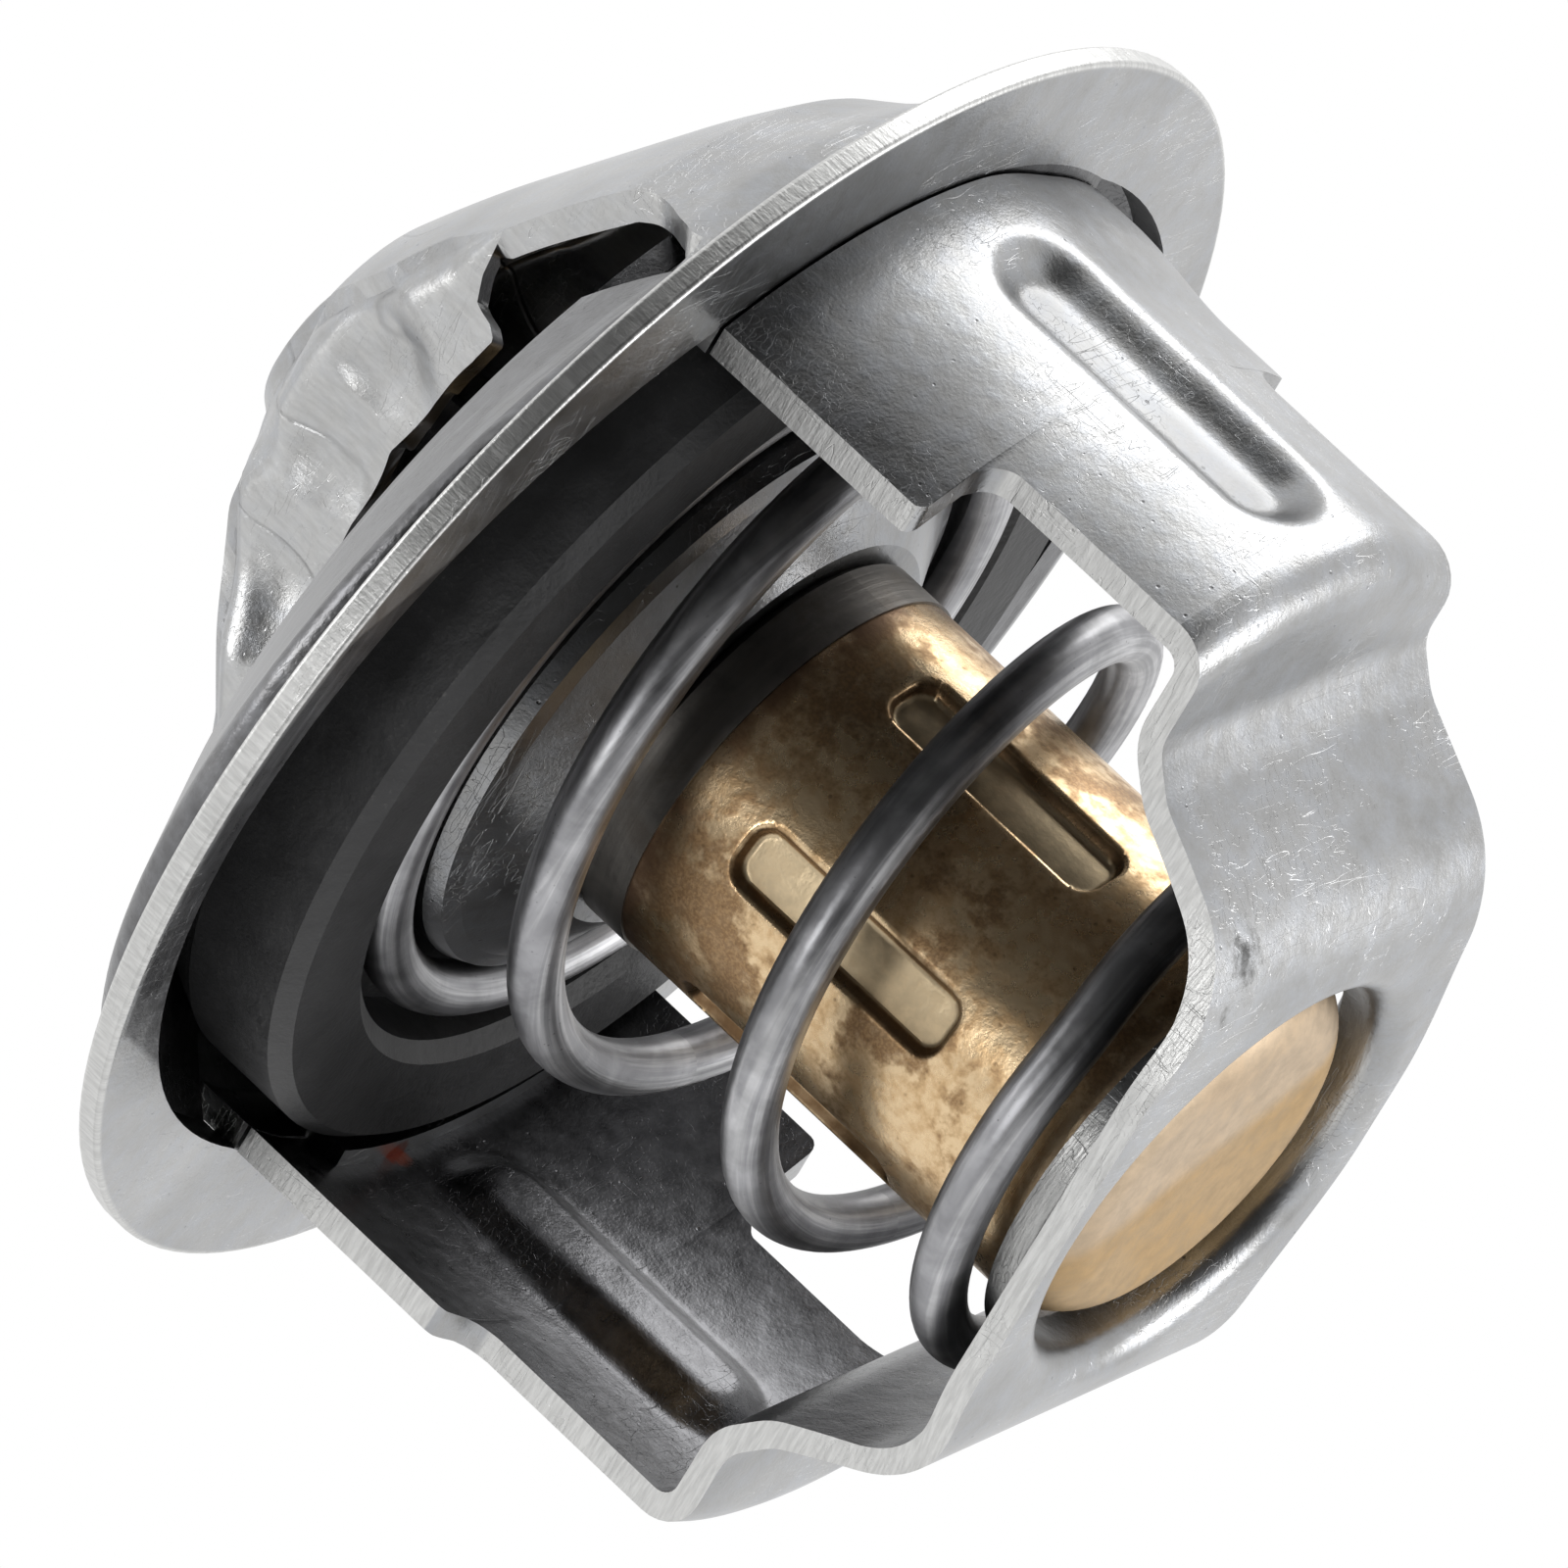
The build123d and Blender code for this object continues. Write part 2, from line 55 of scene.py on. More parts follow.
def fillet_line(points, radii, arc_steps):
    """Open polyline with rounded corners, and the same count of steps at each of them."""
    pts = [np.array(p, float) for p in points]
    out = [pts[0]]
    for i in range(1, len(pts) - 1):
        a, b, c = pts[i - 1], pts[i], pts[i + 1]
        d1 = (a - b) / max(np.linalg.norm(a - b), 1e-9)
        d2 = (c - b) / max(np.linalg.norm(c - b), 1e-9)
        r = radii[i]
        ang = math.acos(max(-1, min(1, float(d1 @ d2))))
        if r <= 1e-6 or ang > math.pi - 0.02:
            out.append(b)
            continue
        t = min(r / math.tan(ang / 2), 0.48 * np.linalg.norm(a - b), 0.48 * np.linalg.norm(c - b))
        r = t * math.tan(ang / 2)
        bis = (d1 + d2) / np.linalg.norm(d1 + d2)
        centre = b + bis * (r / math.sin(ang / 2))
        p1, p2 = b + d1 * t - centre, b + d2 * t - centre
        w = math.acos(max(-1, min(1, float(p1 @ p2) / (r * r))))
        for k in range(arc_steps + 1):
            f = k / arc_steps
            if w < 1e-5:
                q = p1 * (1 - f) + p2 * f
            else:
                q = (p1 * math.sin((1 - f) * w) + p2 * math.sin(f * w)) / math.sin(w)
            out.append(centre + q)
    return out + [pts[-1]]


def make_piece(name, verts, faces, body, node, sharp=38, bevel=0.0):
    """A mesh that rides on a body and stands for a node; angles in degrees, bevel in millimetres."""
    mesh = bpy.data.meshes.new(name)
    mesh.from_pydata([tuple(float(c) * MM for c in v) for v in verts], [], faces)
    mesh.validate()
    obj = bpy.data.objects.new(name, mesh)
    scene.collection.objects.link(obj)
    mesh.shade_smooth()
    mesh.set_sharp_from_angle(angle=math.radians(sharp))
    if bevel:
        mod = obj.modifiers.new("edge", "BEVEL")
        mod.width = bevel * MM
        mod.segments = 2
        mod.limit_method = "ANGLE"
        mod.angle_limit = math.radians(40)
        mod.use_clamp_overlap = True
    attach(obj, body)
    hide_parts(node)
    return obj


def weld(verts, faces):
    """Merges points that coincide, and drops faces that collapse."""
    index, table, remap = {}, [], []
    for v in verts:
        key = (round(v[0], 4), round(v[1], 4), round(v[2], 4))
        if key not in index:
            index[key] = len(table)
            table.append(v)
        remap.append(index[key])
    clean = []
    for f in faces:
        g = []
        for i in (remap[i] for i in f):
            if not g or g[-1] != i:
                g.append(i)
        if len(g) > 1 and g[0] == g[-1]:
            g.pop()
        if len(set(g)) > 2:
            clean.append(tuple(g))
    return table, clean


def turned(loop, count, shape):
    """Full turn of a closed (r, z) loop, anticlockwise with r to the right; shape moves its points."""
    verts, faces = [], []
    n = len(loop)
    for i in range(count):
        a = 2 * math.pi * i / count
        for r, z in loop:
            r, z = shape(a, r, z)
            verts.append((r * math.cos(a), r * math.sin(a), z))
    for i in range(count):
        j = (i + 1) % count
        for k in range(n):
            m = (k + 1) % n
            faces.append((i * n + k, j * n + k, j * n + m, i * n + m))
    return weld(verts, faces)


def sheet_solid(outer, inner, faces):
    """Two matching skins joined along their open edges."""
    n = len(outer)
    verts = list(outer) + list(inner)
    out = [tuple(f) for f in faces] + [tuple(i + n for i in f[::-1]) for f in faces]
    edges = dict.fromkeys((a, b) for f in faces for a, b in zip(f, f[1:] + f[:1]))
    for a, b in edges:
        if (b, a) not in edges:
            out.append((b, a, a + n, b + n))
    return verts, out


# Sizes of the part, in millimetres, with z from the underside of the flange
SHEET = 1.0
RIM = 27.0

# Lower frame: one pressing, from the ring round the capsule out to the tops of both legs
WALL = 22.5
LEG_IN = WALL - SHEET
BASE_UNDER = -27.3
ELBOW_UNDER = -20.2
ELBOW_OUT = 1.7
ELBOW_IN = 0.7
HOLE = 8.2
LIP_TOP = -24.95
LIP_SHEET = 0.75
LIP_OUT = 1.3
LIP_IN = 0.45
CENTRE = 9.7
WIDE_HALF = 11.3
NARROW_HALF = 8.0
BASE_MORE = 1.8
LEG_STEP = -9.7
LEG_TOP = -0.12
STEP_CORNER = 0.45
STEP_FILLET = 1.3
RIB_TOP = -2.9
RIB_END = -17.4
RIB_HALF = 2.35
TONGUE = ((20.78, -1.6), (21.5, -1.6), (21.45, 1.4), (20.78, 1.4))
TONGUE_HALF = 6.5
FAR = 30.0
BASE_LINE = np.array(fillet_line(
    [(0, BASE_UNDER), (11.9, BASE_UNDER), (15.25, -21.5), (16.8, ELBOW_UNDER), (FAR, ELBOW_UNDER)],
    [0, 7.0, 2.6, 1.6, 0], 14))
# counts of points: along each side of the base, along a ray of it, along a strap, across a tongue
SIDE_STEPS, RAY_POINTS, STRAP_ROWS, TONGUE_ROWS = 72, 40, 44, 25


def base_rise(x, y):
    """How far the pressed base curls up away from the hole."""
    r = math.hypot(x, y)
    rise = float(np.interp(abs(x), BASE_LINE[:, 0], BASE_LINE[:, 1])) - BASE_UNDER
    return rise * float(smooth01((r - 8.5) / 1.2))


def frame_ring_line(side):
    """(r, z) from the top of the turned in lip, round its bend and out to the flat base."""
    r = HOLE + side * LIP_SHEET
    z = BASE_UNDER + side * SHEET
    return np.array(fillet_line([(r, LIP_TOP), (r, z), (FAR, z)], [0, LIP_IN if side else LIP_OUT, 0], 9))


def resample(line, count):
    """The same line, as points at equal steps along it."""
    seg = np.linalg.norm(np.diff(line, axis=0), axis=1)
    s = np.concatenate([[0], np.cumsum(seg)])
    t = np.linspace(0, 1, count) * s[-1]
    return np.stack([np.interp(t, s, line[:, k]) for k in range(line.shape[1])], 1)


def base_half(x, side):
    """Half width of the base, which is fuller on the side of -Y."""
    start, run = (6.0, 8.5) if side < 0 else (1.5, 9.5)
    return NARROW_HALF + BASE_MORE * (1 - smooth01((abs(x) - start) / run))


def rib_depth(y, z):
    """How deep the long rib is pressed into a leg."""
    zc = np.clip(z, RIB_END + RIB_HALF, RIB_TOP - RIB_HALF)
    d = np.hypot(y, z - zc) - RIB_HALF
    return 1 - smooth01((d + 1.6) / 2.1)


def roll_in(y, z, sign):
    """The far edge of one leg is rolled in a little."""
    if sign < 0:
        return 0.0
    return float(smooth01((y - 1.5) / 6.0)) * (1 - 0.55 * float(smooth01((z + 7.0) / 5.0)))


def leg_half(z):
    """Half width of a leg, with the rounded step from wide to narrow."""
    if z >= LEG_STEP + STEP_CORNER:
        return WIDE_HALF
    if z >= LEG_STEP:
        away = LEG_STEP + STEP_CORNER - z
        return WIDE_HALF - STEP_CORNER + math.sqrt(max(STEP_CORNER ** 2 - away ** 2, 0))
    if z >= LEG_STEP - STEP_FILLET:
        away = z - (LEG_STEP - STEP_FILLET)
        return NARROW_HALF + STEP_FILLET - math.sqrt(max(STEP_FILLET ** 2 - away ** 2, 0))
    return NARROW_HALF


def strap_line(y, side, sign):
    """The strap's section at one y, from the flat base to the start of the elbow."""
    radius, bend = (LEG_IN, ELBOW_IN) if side else (WALL, ELBOW_OUT)
    end = math.sqrt(radius ** 2 - y * y) - roll_in(y, ELBOW_UNDER, sign) - bend
    xs, zs = BASE_LINE[:, 0], BASE_LINE[:, 1]
    start = float(np.interp(CENTRE, xs, zs))
    if side == 0:
        keep = [(x, z) for x, z in zip(xs, zs) if CENTRE < x < end - 0.2]
        return resample(np.array([(CENTRE, start)] + keep + [(end, ELBOW_UNDER)]), STRAP_ROWS)
    dx, dz = np.gradient(xs), np.gradient(zs)
    size = np.hypot(dx, dz)
    keep = [(x - SHEET * n / q, z + SHEET * m / q) for x, z, m, n, q in zip(xs, zs, dx, dz, size)]
    keep = [(x, z) for x, z in keep if CENTRE + 0.1 < x < end - 0.2]
    return resample(np.array([(CENTRE, start + SHEET)] + keep + [(end, ELBOW_UNDER + SHEET)]), STRAP_ROWS)


def base_outline():
    """Points round the centre part of the base: four sides of SIDE_STEPS steps each, from one corner."""
    near, far = base_half(CENTRE, -1), base_half(CENTRE, 1)
    ys = [t * (near if t < 0 else far) for t in np.linspace(-1, 1, SIDE_STEPS + 1)]
    xs = np.linspace(CENTRE, -CENTRE, SIDE_STEPS + 1)[1:]
    return ([(CENTRE, y) for y in ys] + [(x, base_half(x, 1)) for x in xs]
            + [(-CENTRE, y) for y in ys[::-1][1:]] + [(x, -base_half(x, -1)) for x in xs[::-1][1:]])


def base_skin(outline, side):
    """One skin of the centre part, as rays of RAY_POINTS points from the lip out to the outline."""
    line = frame_ring_line(side)
    verts = []
    for x, y in outline:
        reach = math.hypot(x, y)
        keep = [tuple(p) for p in line if p[0] < reach - 1e-6]
        for r, z in resample(np.array(keep + [(reach, line[-1][1])]), RAY_POINTS):
            px, py = x / reach * r, y / reach * r
            verts.append((px, py, z + base_rise(px, py)))
    return verts


def leg_levels():
    """Heights of the rows up a leg, close together round the step from narrow to wide."""
    zs = list(np.linspace(ELBOW_UNDER + ELBOW_OUT, LEG_STEP - STEP_FILLET, 26))
    zs += [LEG_STEP - STEP_FILLET * math.cos(a) for a in np.linspace(0.15, math.pi / 2 - 0.02, 9)]
    zs += [LEG_STEP + STEP_CORNER * (1 - math.cos(a)) for a in np.linspace(0.05, math.pi / 2, 5)]
    return zs + list(np.linspace(LEG_STEP + STEP_CORNER, LEG_TOP, 34))[1:]


def leg_rows(side, sign, shares):
    """Rows of points along the strap, round the elbow and up the leg; shares of its width, -1 to 1."""
    radius, bend = (LEG_IN, ELBOW_IN) if side else (WALL, ELBOW_OUT)
    level = ELBOW_UNDER + side * SHEET
    rows = []
    columns = [strap_line(t * NARROW_HALF, side, sign) for t in shares]
    for s in range(1, STRAP_ROWS):
        rows.append([(sign * column[s][0], t * base_half(column[s][0], -1 if t < 0 else 1), column[s][1])
                     for t, column in zip(shares, columns)])
    for a in np.linspace(0, math.pi / 2, 8)[1:]:
        row = []
        for t in shares:
            y = t * NARROW_HALF
            edge = math.sqrt(radius * radius - y * y) - roll_in(y, level, sign)
            row.append((sign * (edge - bend + bend * math.sin(a)), y, level + bend - bend * math.cos(a)))
        rows.append(row)
    for z in leg_levels():
        row = []
        for t in shares:
            y = t * leg_half(z)
            if sign < 0 and t > 0:
                taper = smooth01((LEG_STEP - z) / STEP_FILLET) * smooth01((z - ELBOW_UNDER) / 4.0)
                y *= 1 - 0.1 * float(taper)
            edge = math.sqrt(radius * radius - y * y) - rib_depth(y, z) - roll_in(y, z, sign)
            row.append((sign * edge, y, z))
        rows.append(row)
    return rows


def add_tongue(verts, faces, sign):
    """Adds a tongue that stands up inside the rim."""
    b = len(verts)
    for y in np.linspace(-TONGUE_HALF, TONGUE_HALF, TONGUE_ROWS):
        verts += [(sign * math.sqrt(r * r - y * y), y, z) for r, z in TONGUE]
    quads = []
    for i in range(b, b + (TONGUE_ROWS - 1) * 4, 4):
        for k in range(4):
            n = (k + 1) % 4
            quads.append((i + k, i + 4 + k, i + 4 + n, i + n))
    e = b + (TONGUE_ROWS - 1) * 4
    quads += [(b, b + 1, b + 2, b + 3), (e + 3, e + 2, e + 1, e)]
    faces += [q[::-1] if sign == 1 else q for q in quads]


def build_lower_frame():
    """The base, both straps and legs as one folded sheet, and the two tongues."""
    outline = base_outline()
    skins = [base_skin(outline, side) for side in (0, 1)]
    faces = []
    for i in range(len(outline)):
        a, b = i * RAY_POINTS, (i + 1) % len(outline) * RAY_POINTS
        for k in range(RAY_POINTS - 1):
            faces.append((a + k, a + k + 1, b + k + 1, b + k))
    near, far = base_half(CENTRE, -1), base_half(CENTRE, 1)
    for sign, rays in ((1, range(SIDE_STEPS + 1)), (-1, range(3 * SIDE_STEPS, 2 * SIDE_STEPS - 1, -1))):
        last = [i * RAY_POINTS + RAY_POINTS - 1 for i in rays]
        shares = [y / (near if y < 0 else far) for y in (skins[0][c][1] for c in last)]
        for outer, inner in zip(*(leg_rows(side, sign, shares) for side in (0, 1))):
            row = range(len(skins[0]), len(skins[0]) + len(last))
            skins[0].extend(outer)
            skins[1].extend(inner)
            for c in range(len(last) - 1):
                quad = (last[c], row[c], row[c + 1], last[c + 1])
                faces.append(quad if sign == 1 else quad[::-1])
            last = row
    verts, out = sheet_solid(skins[0], skins[1], faces)
    for sign in (1, -1):
        add_tongue(verts, out, sign)
    return verts, out


v, f = build_lower_frame()
lower_frame = make_piece("lower_frame_pressing", v, f, "frame", "lower_frame", bevel=0.13)


# Upper bridge: conical strap, its turned down sides, its feet and the boss
# outside line as (r, z) with its fillets; lower edge of the sides as (r, z); dents as x, y, z, reach, depth
BRIDGE_OUT = [(0.0, 17.65), (2.9, 17.65), (3.6, 16.7), (4.5, 16.3), (6.3, 16.15), (19.4, 7.0), (20.5, 5.6),
              (21.9, 4.0), (WALL, 2.6), (WALL, 0.0)]
BRIDGE_RAD = [0, 0.5, 0.4, 0.3, 1.5, 1.5, 2.0, 1.2, 0.9, 0]
ARCH = [(0, 10.9), (2.4, 10.9), (5.28, 9.9), (8.4, 8.7), (9.7, 8.35), (10.1, 8.7), (10.35, 9.5), (11.4, 9.85),
        (13.2, 10.0), (14.8, 9.9), (16.5, 9.0), (17.8, 7.8), (18.4, 6.6), (18.8, 0.0)]
DENTS = [(-4.4, -7.6, 13.2, 3.4, 0.5), (0.8, -7.0, 12.8, 2.9, 0.42), (5.4, -7.2, 12.6, 3.0, 0.5),
         (-1.4, -6.4, 16.2, 2.2, 0.35), (-3.6, 6.8, 12.8, 3.0, 0.4), (3.0, 6.8, 13.4, 3.0, 0.4)]
DENT_MOST = 0.75
STRAP_HALF = 7.0
BOSS_HALF = 5.6
FOOT_R = 19.2
SIDE_BEND = 1.5


def bridge_half(rho, z, sign):
    """Half width of the strap by radius, and of its feet by height."""
    if rho > FOOT_R and sign > 0:
        return STRAP_HALF + 2.3 * smooth01((6.6 - z) / 3.4) + 2.08 * smooth01((3.0 - z) / 0.4)
    if rho > FOOT_R:
        return STRAP_HALF + 2.4 * smooth01((7.0 - z) / 1.5) + 1.98 * smooth01((5.3 - z) / 0.4)
    if rho > 8.4:
        return STRAP_HALF
    return BOSS_HALF + 1.4 * smooth01((rho - 3.6) / 4.8)


def worn(x, y, z):
    """A point of the bridge with the dents of the boss wall and the lean of the top."""
    if abs(x) < 11 and z > 7.5:
        lift = float(smooth01((z - 7.5) / 2.5))
        push = 0.0
        for dx, dy, dz, reach, deep in DENTS:
            d = math.sqrt((x - dx) ** 2 + (y - dy) ** 2 + (z - dz) ** 2)
            if d < reach:
                push = max(push, deep * min((reach - d) / (0.45 * reach), 1.0))
        push = min(push, DENT_MOST)
        y -= math.copysign(push, y) * lift
        z -= push * 0.3 * lift
    lean = float(smooth01((z - 5.0) / 4.0))
    z += lean * (0.9 * float(smooth01(x / 11.0)) - 0.4 - 0.4 * float(smooth01(-x / 7.0)))
    return x, y, z


def build_bridge():
    """The strap as stations along its outside line, each with a top, two bends and two turned down sides."""
    line = np.array(fillet_line(BRIDGE_OUT, BRIDGE_RAD, 6))
    seg = np.linalg.norm(np.diff(line, axis=0), axis=1)
    s = np.concatenate([[0], np.cumsum(seg)])
    total = s[-1]
    fine = np.linspace(0, total, 700)
    rr, zz = np.interp(fine, s, line[:, 0]), np.interp(fine, s, line[:, 1])
    tr, tz = np.gradient(rr), np.gradient(zz)
    size = np.hypot(tr, tz)
    kernel = np.ones(15) / 15
    nr = np.convolve(np.pad(-tz / size, 7, mode="edge"), kernel, "valid")
    nz = np.convolve(np.pad(tr / size, 7, mode="edge"), kernel, "valid")
    nr[-20:], nz[-20:] = 1.0, 0.0
    lines = [(rr, zz), (np.maximum(rr - nr * SHEET, 0), zz - nz * SHEET)]
    # both lines are searched by radius as far as the foot
    rising = [(np.maximum.accumulate(lr[:-60]), lz[:-60]) for lr, lz in lines]
    stations = np.concatenate([np.linspace(0, 8.0, 36), np.linspace(8.0, total, 96)[1:]])
    n_top, n_wall, n_bend = 48, 10, 6
    width = 2 * (n_wall + n_bend) + n_top + 1
    order = [(-1, st) for st in stations[::-1]] + [(1, st) for st in stations[1:]]
    skins = [[], []]
    for sign, st in order:
        rho = float(np.interp(st, fine, rr))
        zc = float(np.interp(st, fine, zz))
        straight = float(smooth01((rho - 9.0) / 9.0))
        half = bridge_half(rho, zc, sign)

        def top(y, side):
            lr, lz = lines[side]
            r0, z0 = float(np.interp(st, fine, lr)), float(np.interp(st, fine, lz))
            if straight > 0.999:
                return math.sqrt(max(r0 * r0 - y * y, 0)), y, z0
            x = math.sqrt(max(r0 * r0 - straight * y * y, 0))
            grow = min(max(math.hypot(x, y), r0), lr[-90])
            radii, heights = rising[side]
            return x, y, float(np.interp(grow, radii, heights)) if grow > radii[0] else z0

        edge = top(half, 0)
        arch_z = float(np.interp(edge[0], [q[0] for q in ARCH], [q[1] for q in ARCH]))
        wall = max(edge[2] - arch_z, 0.0) * float(1 - smooth01((edge[0] - 13.0) / 2.0))
        for side in (0, 1):
            thick = side * SHEET * min(wall, 1.0)
            bend = max(min(SIDE_BEND, wall * 0.7) - thick, 0.0)
            w = half - thick
            xw, _, zt = top(w, side)
            bottom = min(edge[2] - wall, zt) if wall > 0.02 else zt
            part = [(xw, w, bottom + (zt - bend - bottom) * k / n_wall) for k in range(n_wall)]
            for k in range(n_bend):
                a = math.pi / 2 * k / n_bend
                y = w - bend + bend * math.cos(a)
                part.append((top(y, side)[0], y, zt - bend + bend * math.sin(a)))
            row = [(x, -y, z) for x, y, z in part]
            row += [top(t * (w - bend), side) for t in np.linspace(-1, 1, n_top + 1)]
            skins[side] += [worn(sign * x, y, z) for x, y, z in row + part[::-1]]
    faces = []
    for i in range(len(order) - 1):
        for k in range(width - 1):
            a = i * width + k
            faces.append((a, a + width, a + width + 1, a + 1))
    verts, out = sheet_solid(skins[0], skins[1], faces)
    return weld(verts, out)


v, f = build_bridge()
bridge = make_piece("upper_bridge_pressing", v, f, "frame", "upper_bridge",
                    sharp=45, bevel=0.1)


# Capsule: turned cup with pressed pockets
CUP_R = 7.85
CUP_BORE = 7.05
CUP_TOP = -6.0
CUP_ROUND = 2.6
CUP_END = -26.6
POCKET_TOP = -8.9
POCKET_END = -18.9
POCKET_HALF = 1.3
POCKET_ROUND = 0.9
POCKET_DEEP = 0.55
POCKET_TURN = math.radians(-76)


def pocket_depth(a, z):
    """How deep the wall is pressed in at one angle and height: six pockets with round corners."""
    step = 2 * math.pi / 6
    arc = CUP_R * ((a - POCKET_TURN + step / 2) % step - step / 2)
    half_high = (POCKET_TOP - POCKET_END) / 2
    qx = abs(arc) - POCKET_HALF + POCKET_ROUND
    qz = abs(z - (POCKET_TOP + POCKET_END) / 2) - half_high + POCKET_ROUND
    d = math.hypot(max(qx, 0), max(qz, 0)) + min(max(qx, qz), 0) - POCKET_ROUND
    return POCKET_DEEP * float(1 - smooth01((d + 0.26) / 0.36))


def build_cup():
    """The cup's wall, round end and bore, with points close together at the ends of the pockets."""
    start = CUP_END + CUP_ROUND
    runs = ((CUP_TOP, -8.5, 12), (-8.5, -9.6, 14), (-9.6, -18.2, 40), (-18.2, -19.3, 14), (-19.3, start, 16))
    wall = [(CUP_R, CUP_TOP)] + [(CUP_R, z) for a, b, n in runs for z in np.linspace(a, b, n)[1:]]
    dome = [(CUP_R - CUP_ROUND + CUP_ROUND * math.cos(t), start - CUP_ROUND * math.sin(t))
            for t in np.linspace(0, math.pi / 2, 18)[1:]]
    flat = [(r, CUP_END) for r in np.linspace(CUP_R - CUP_ROUND, 0, 9)[1:]]
    inside = [(0, -25.4), (5.0, -25.4), (6.6, -24.4), (CUP_BORE, -23.0), (CUP_BORE, CUP_TOP)]

    def shape(a, r, z):
        if r > CUP_R - 0.05 and POCKET_END - 0.5 < z < POCKET_TOP + 0.5:
            r = r - pocket_depth(a, z)
        return r, z
    return turned((wall + dome + flat + inside)[::-1], 336, shape)


v, f = build_cup()
cup = make_piece("wax_capsule", v, f, "valve", "wax_cup", sharp=50)


# Camera at the photograph's angle, with sizes in metres
DISTANCE = 0.9
SEEN_WIDTH = 0.05407
SENSOR_MM = 36
back = Vector((0.540, -0.782, -0.311)).normalized()
right = Vector((0.4334, 0.5756, -0.6934))
up = back.cross(right).normalized()
right = up.cross(back).normalized()
target = right * (4.029 * MM) - up * (4.121 * MM)
eye = target + back * DISTANCE
cam_data = bpy.data.cameras.new("camera")
cam_data.sensor_width = SENSOR_MM
cam_data.lens = SENSOR_MM * DISTANCE / SEEN_WIDTH
cam_data.clip_start = 0.01
cam_data.clip_end = 20
cam = bpy.data.objects.new("camera", cam_data)
scene.collection.objects.link(cam)
cam.matrix_world = Matrix((
    (right.x, up.x, back.x, eye.x),
    (right.y, up.y, back.y, eye.y),
    (right.z, up.z, back.z, eye.z),
    (0, 0, 0, 1)))
scene.camera = cam
scene.view_settings.view_transform = "Standard"

# Carried-over CAD nodes: smooth shading
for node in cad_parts.values():
    node.data.shade_smooth()
    node.data.set_sharp_from_angle(angle=math.radians(35))


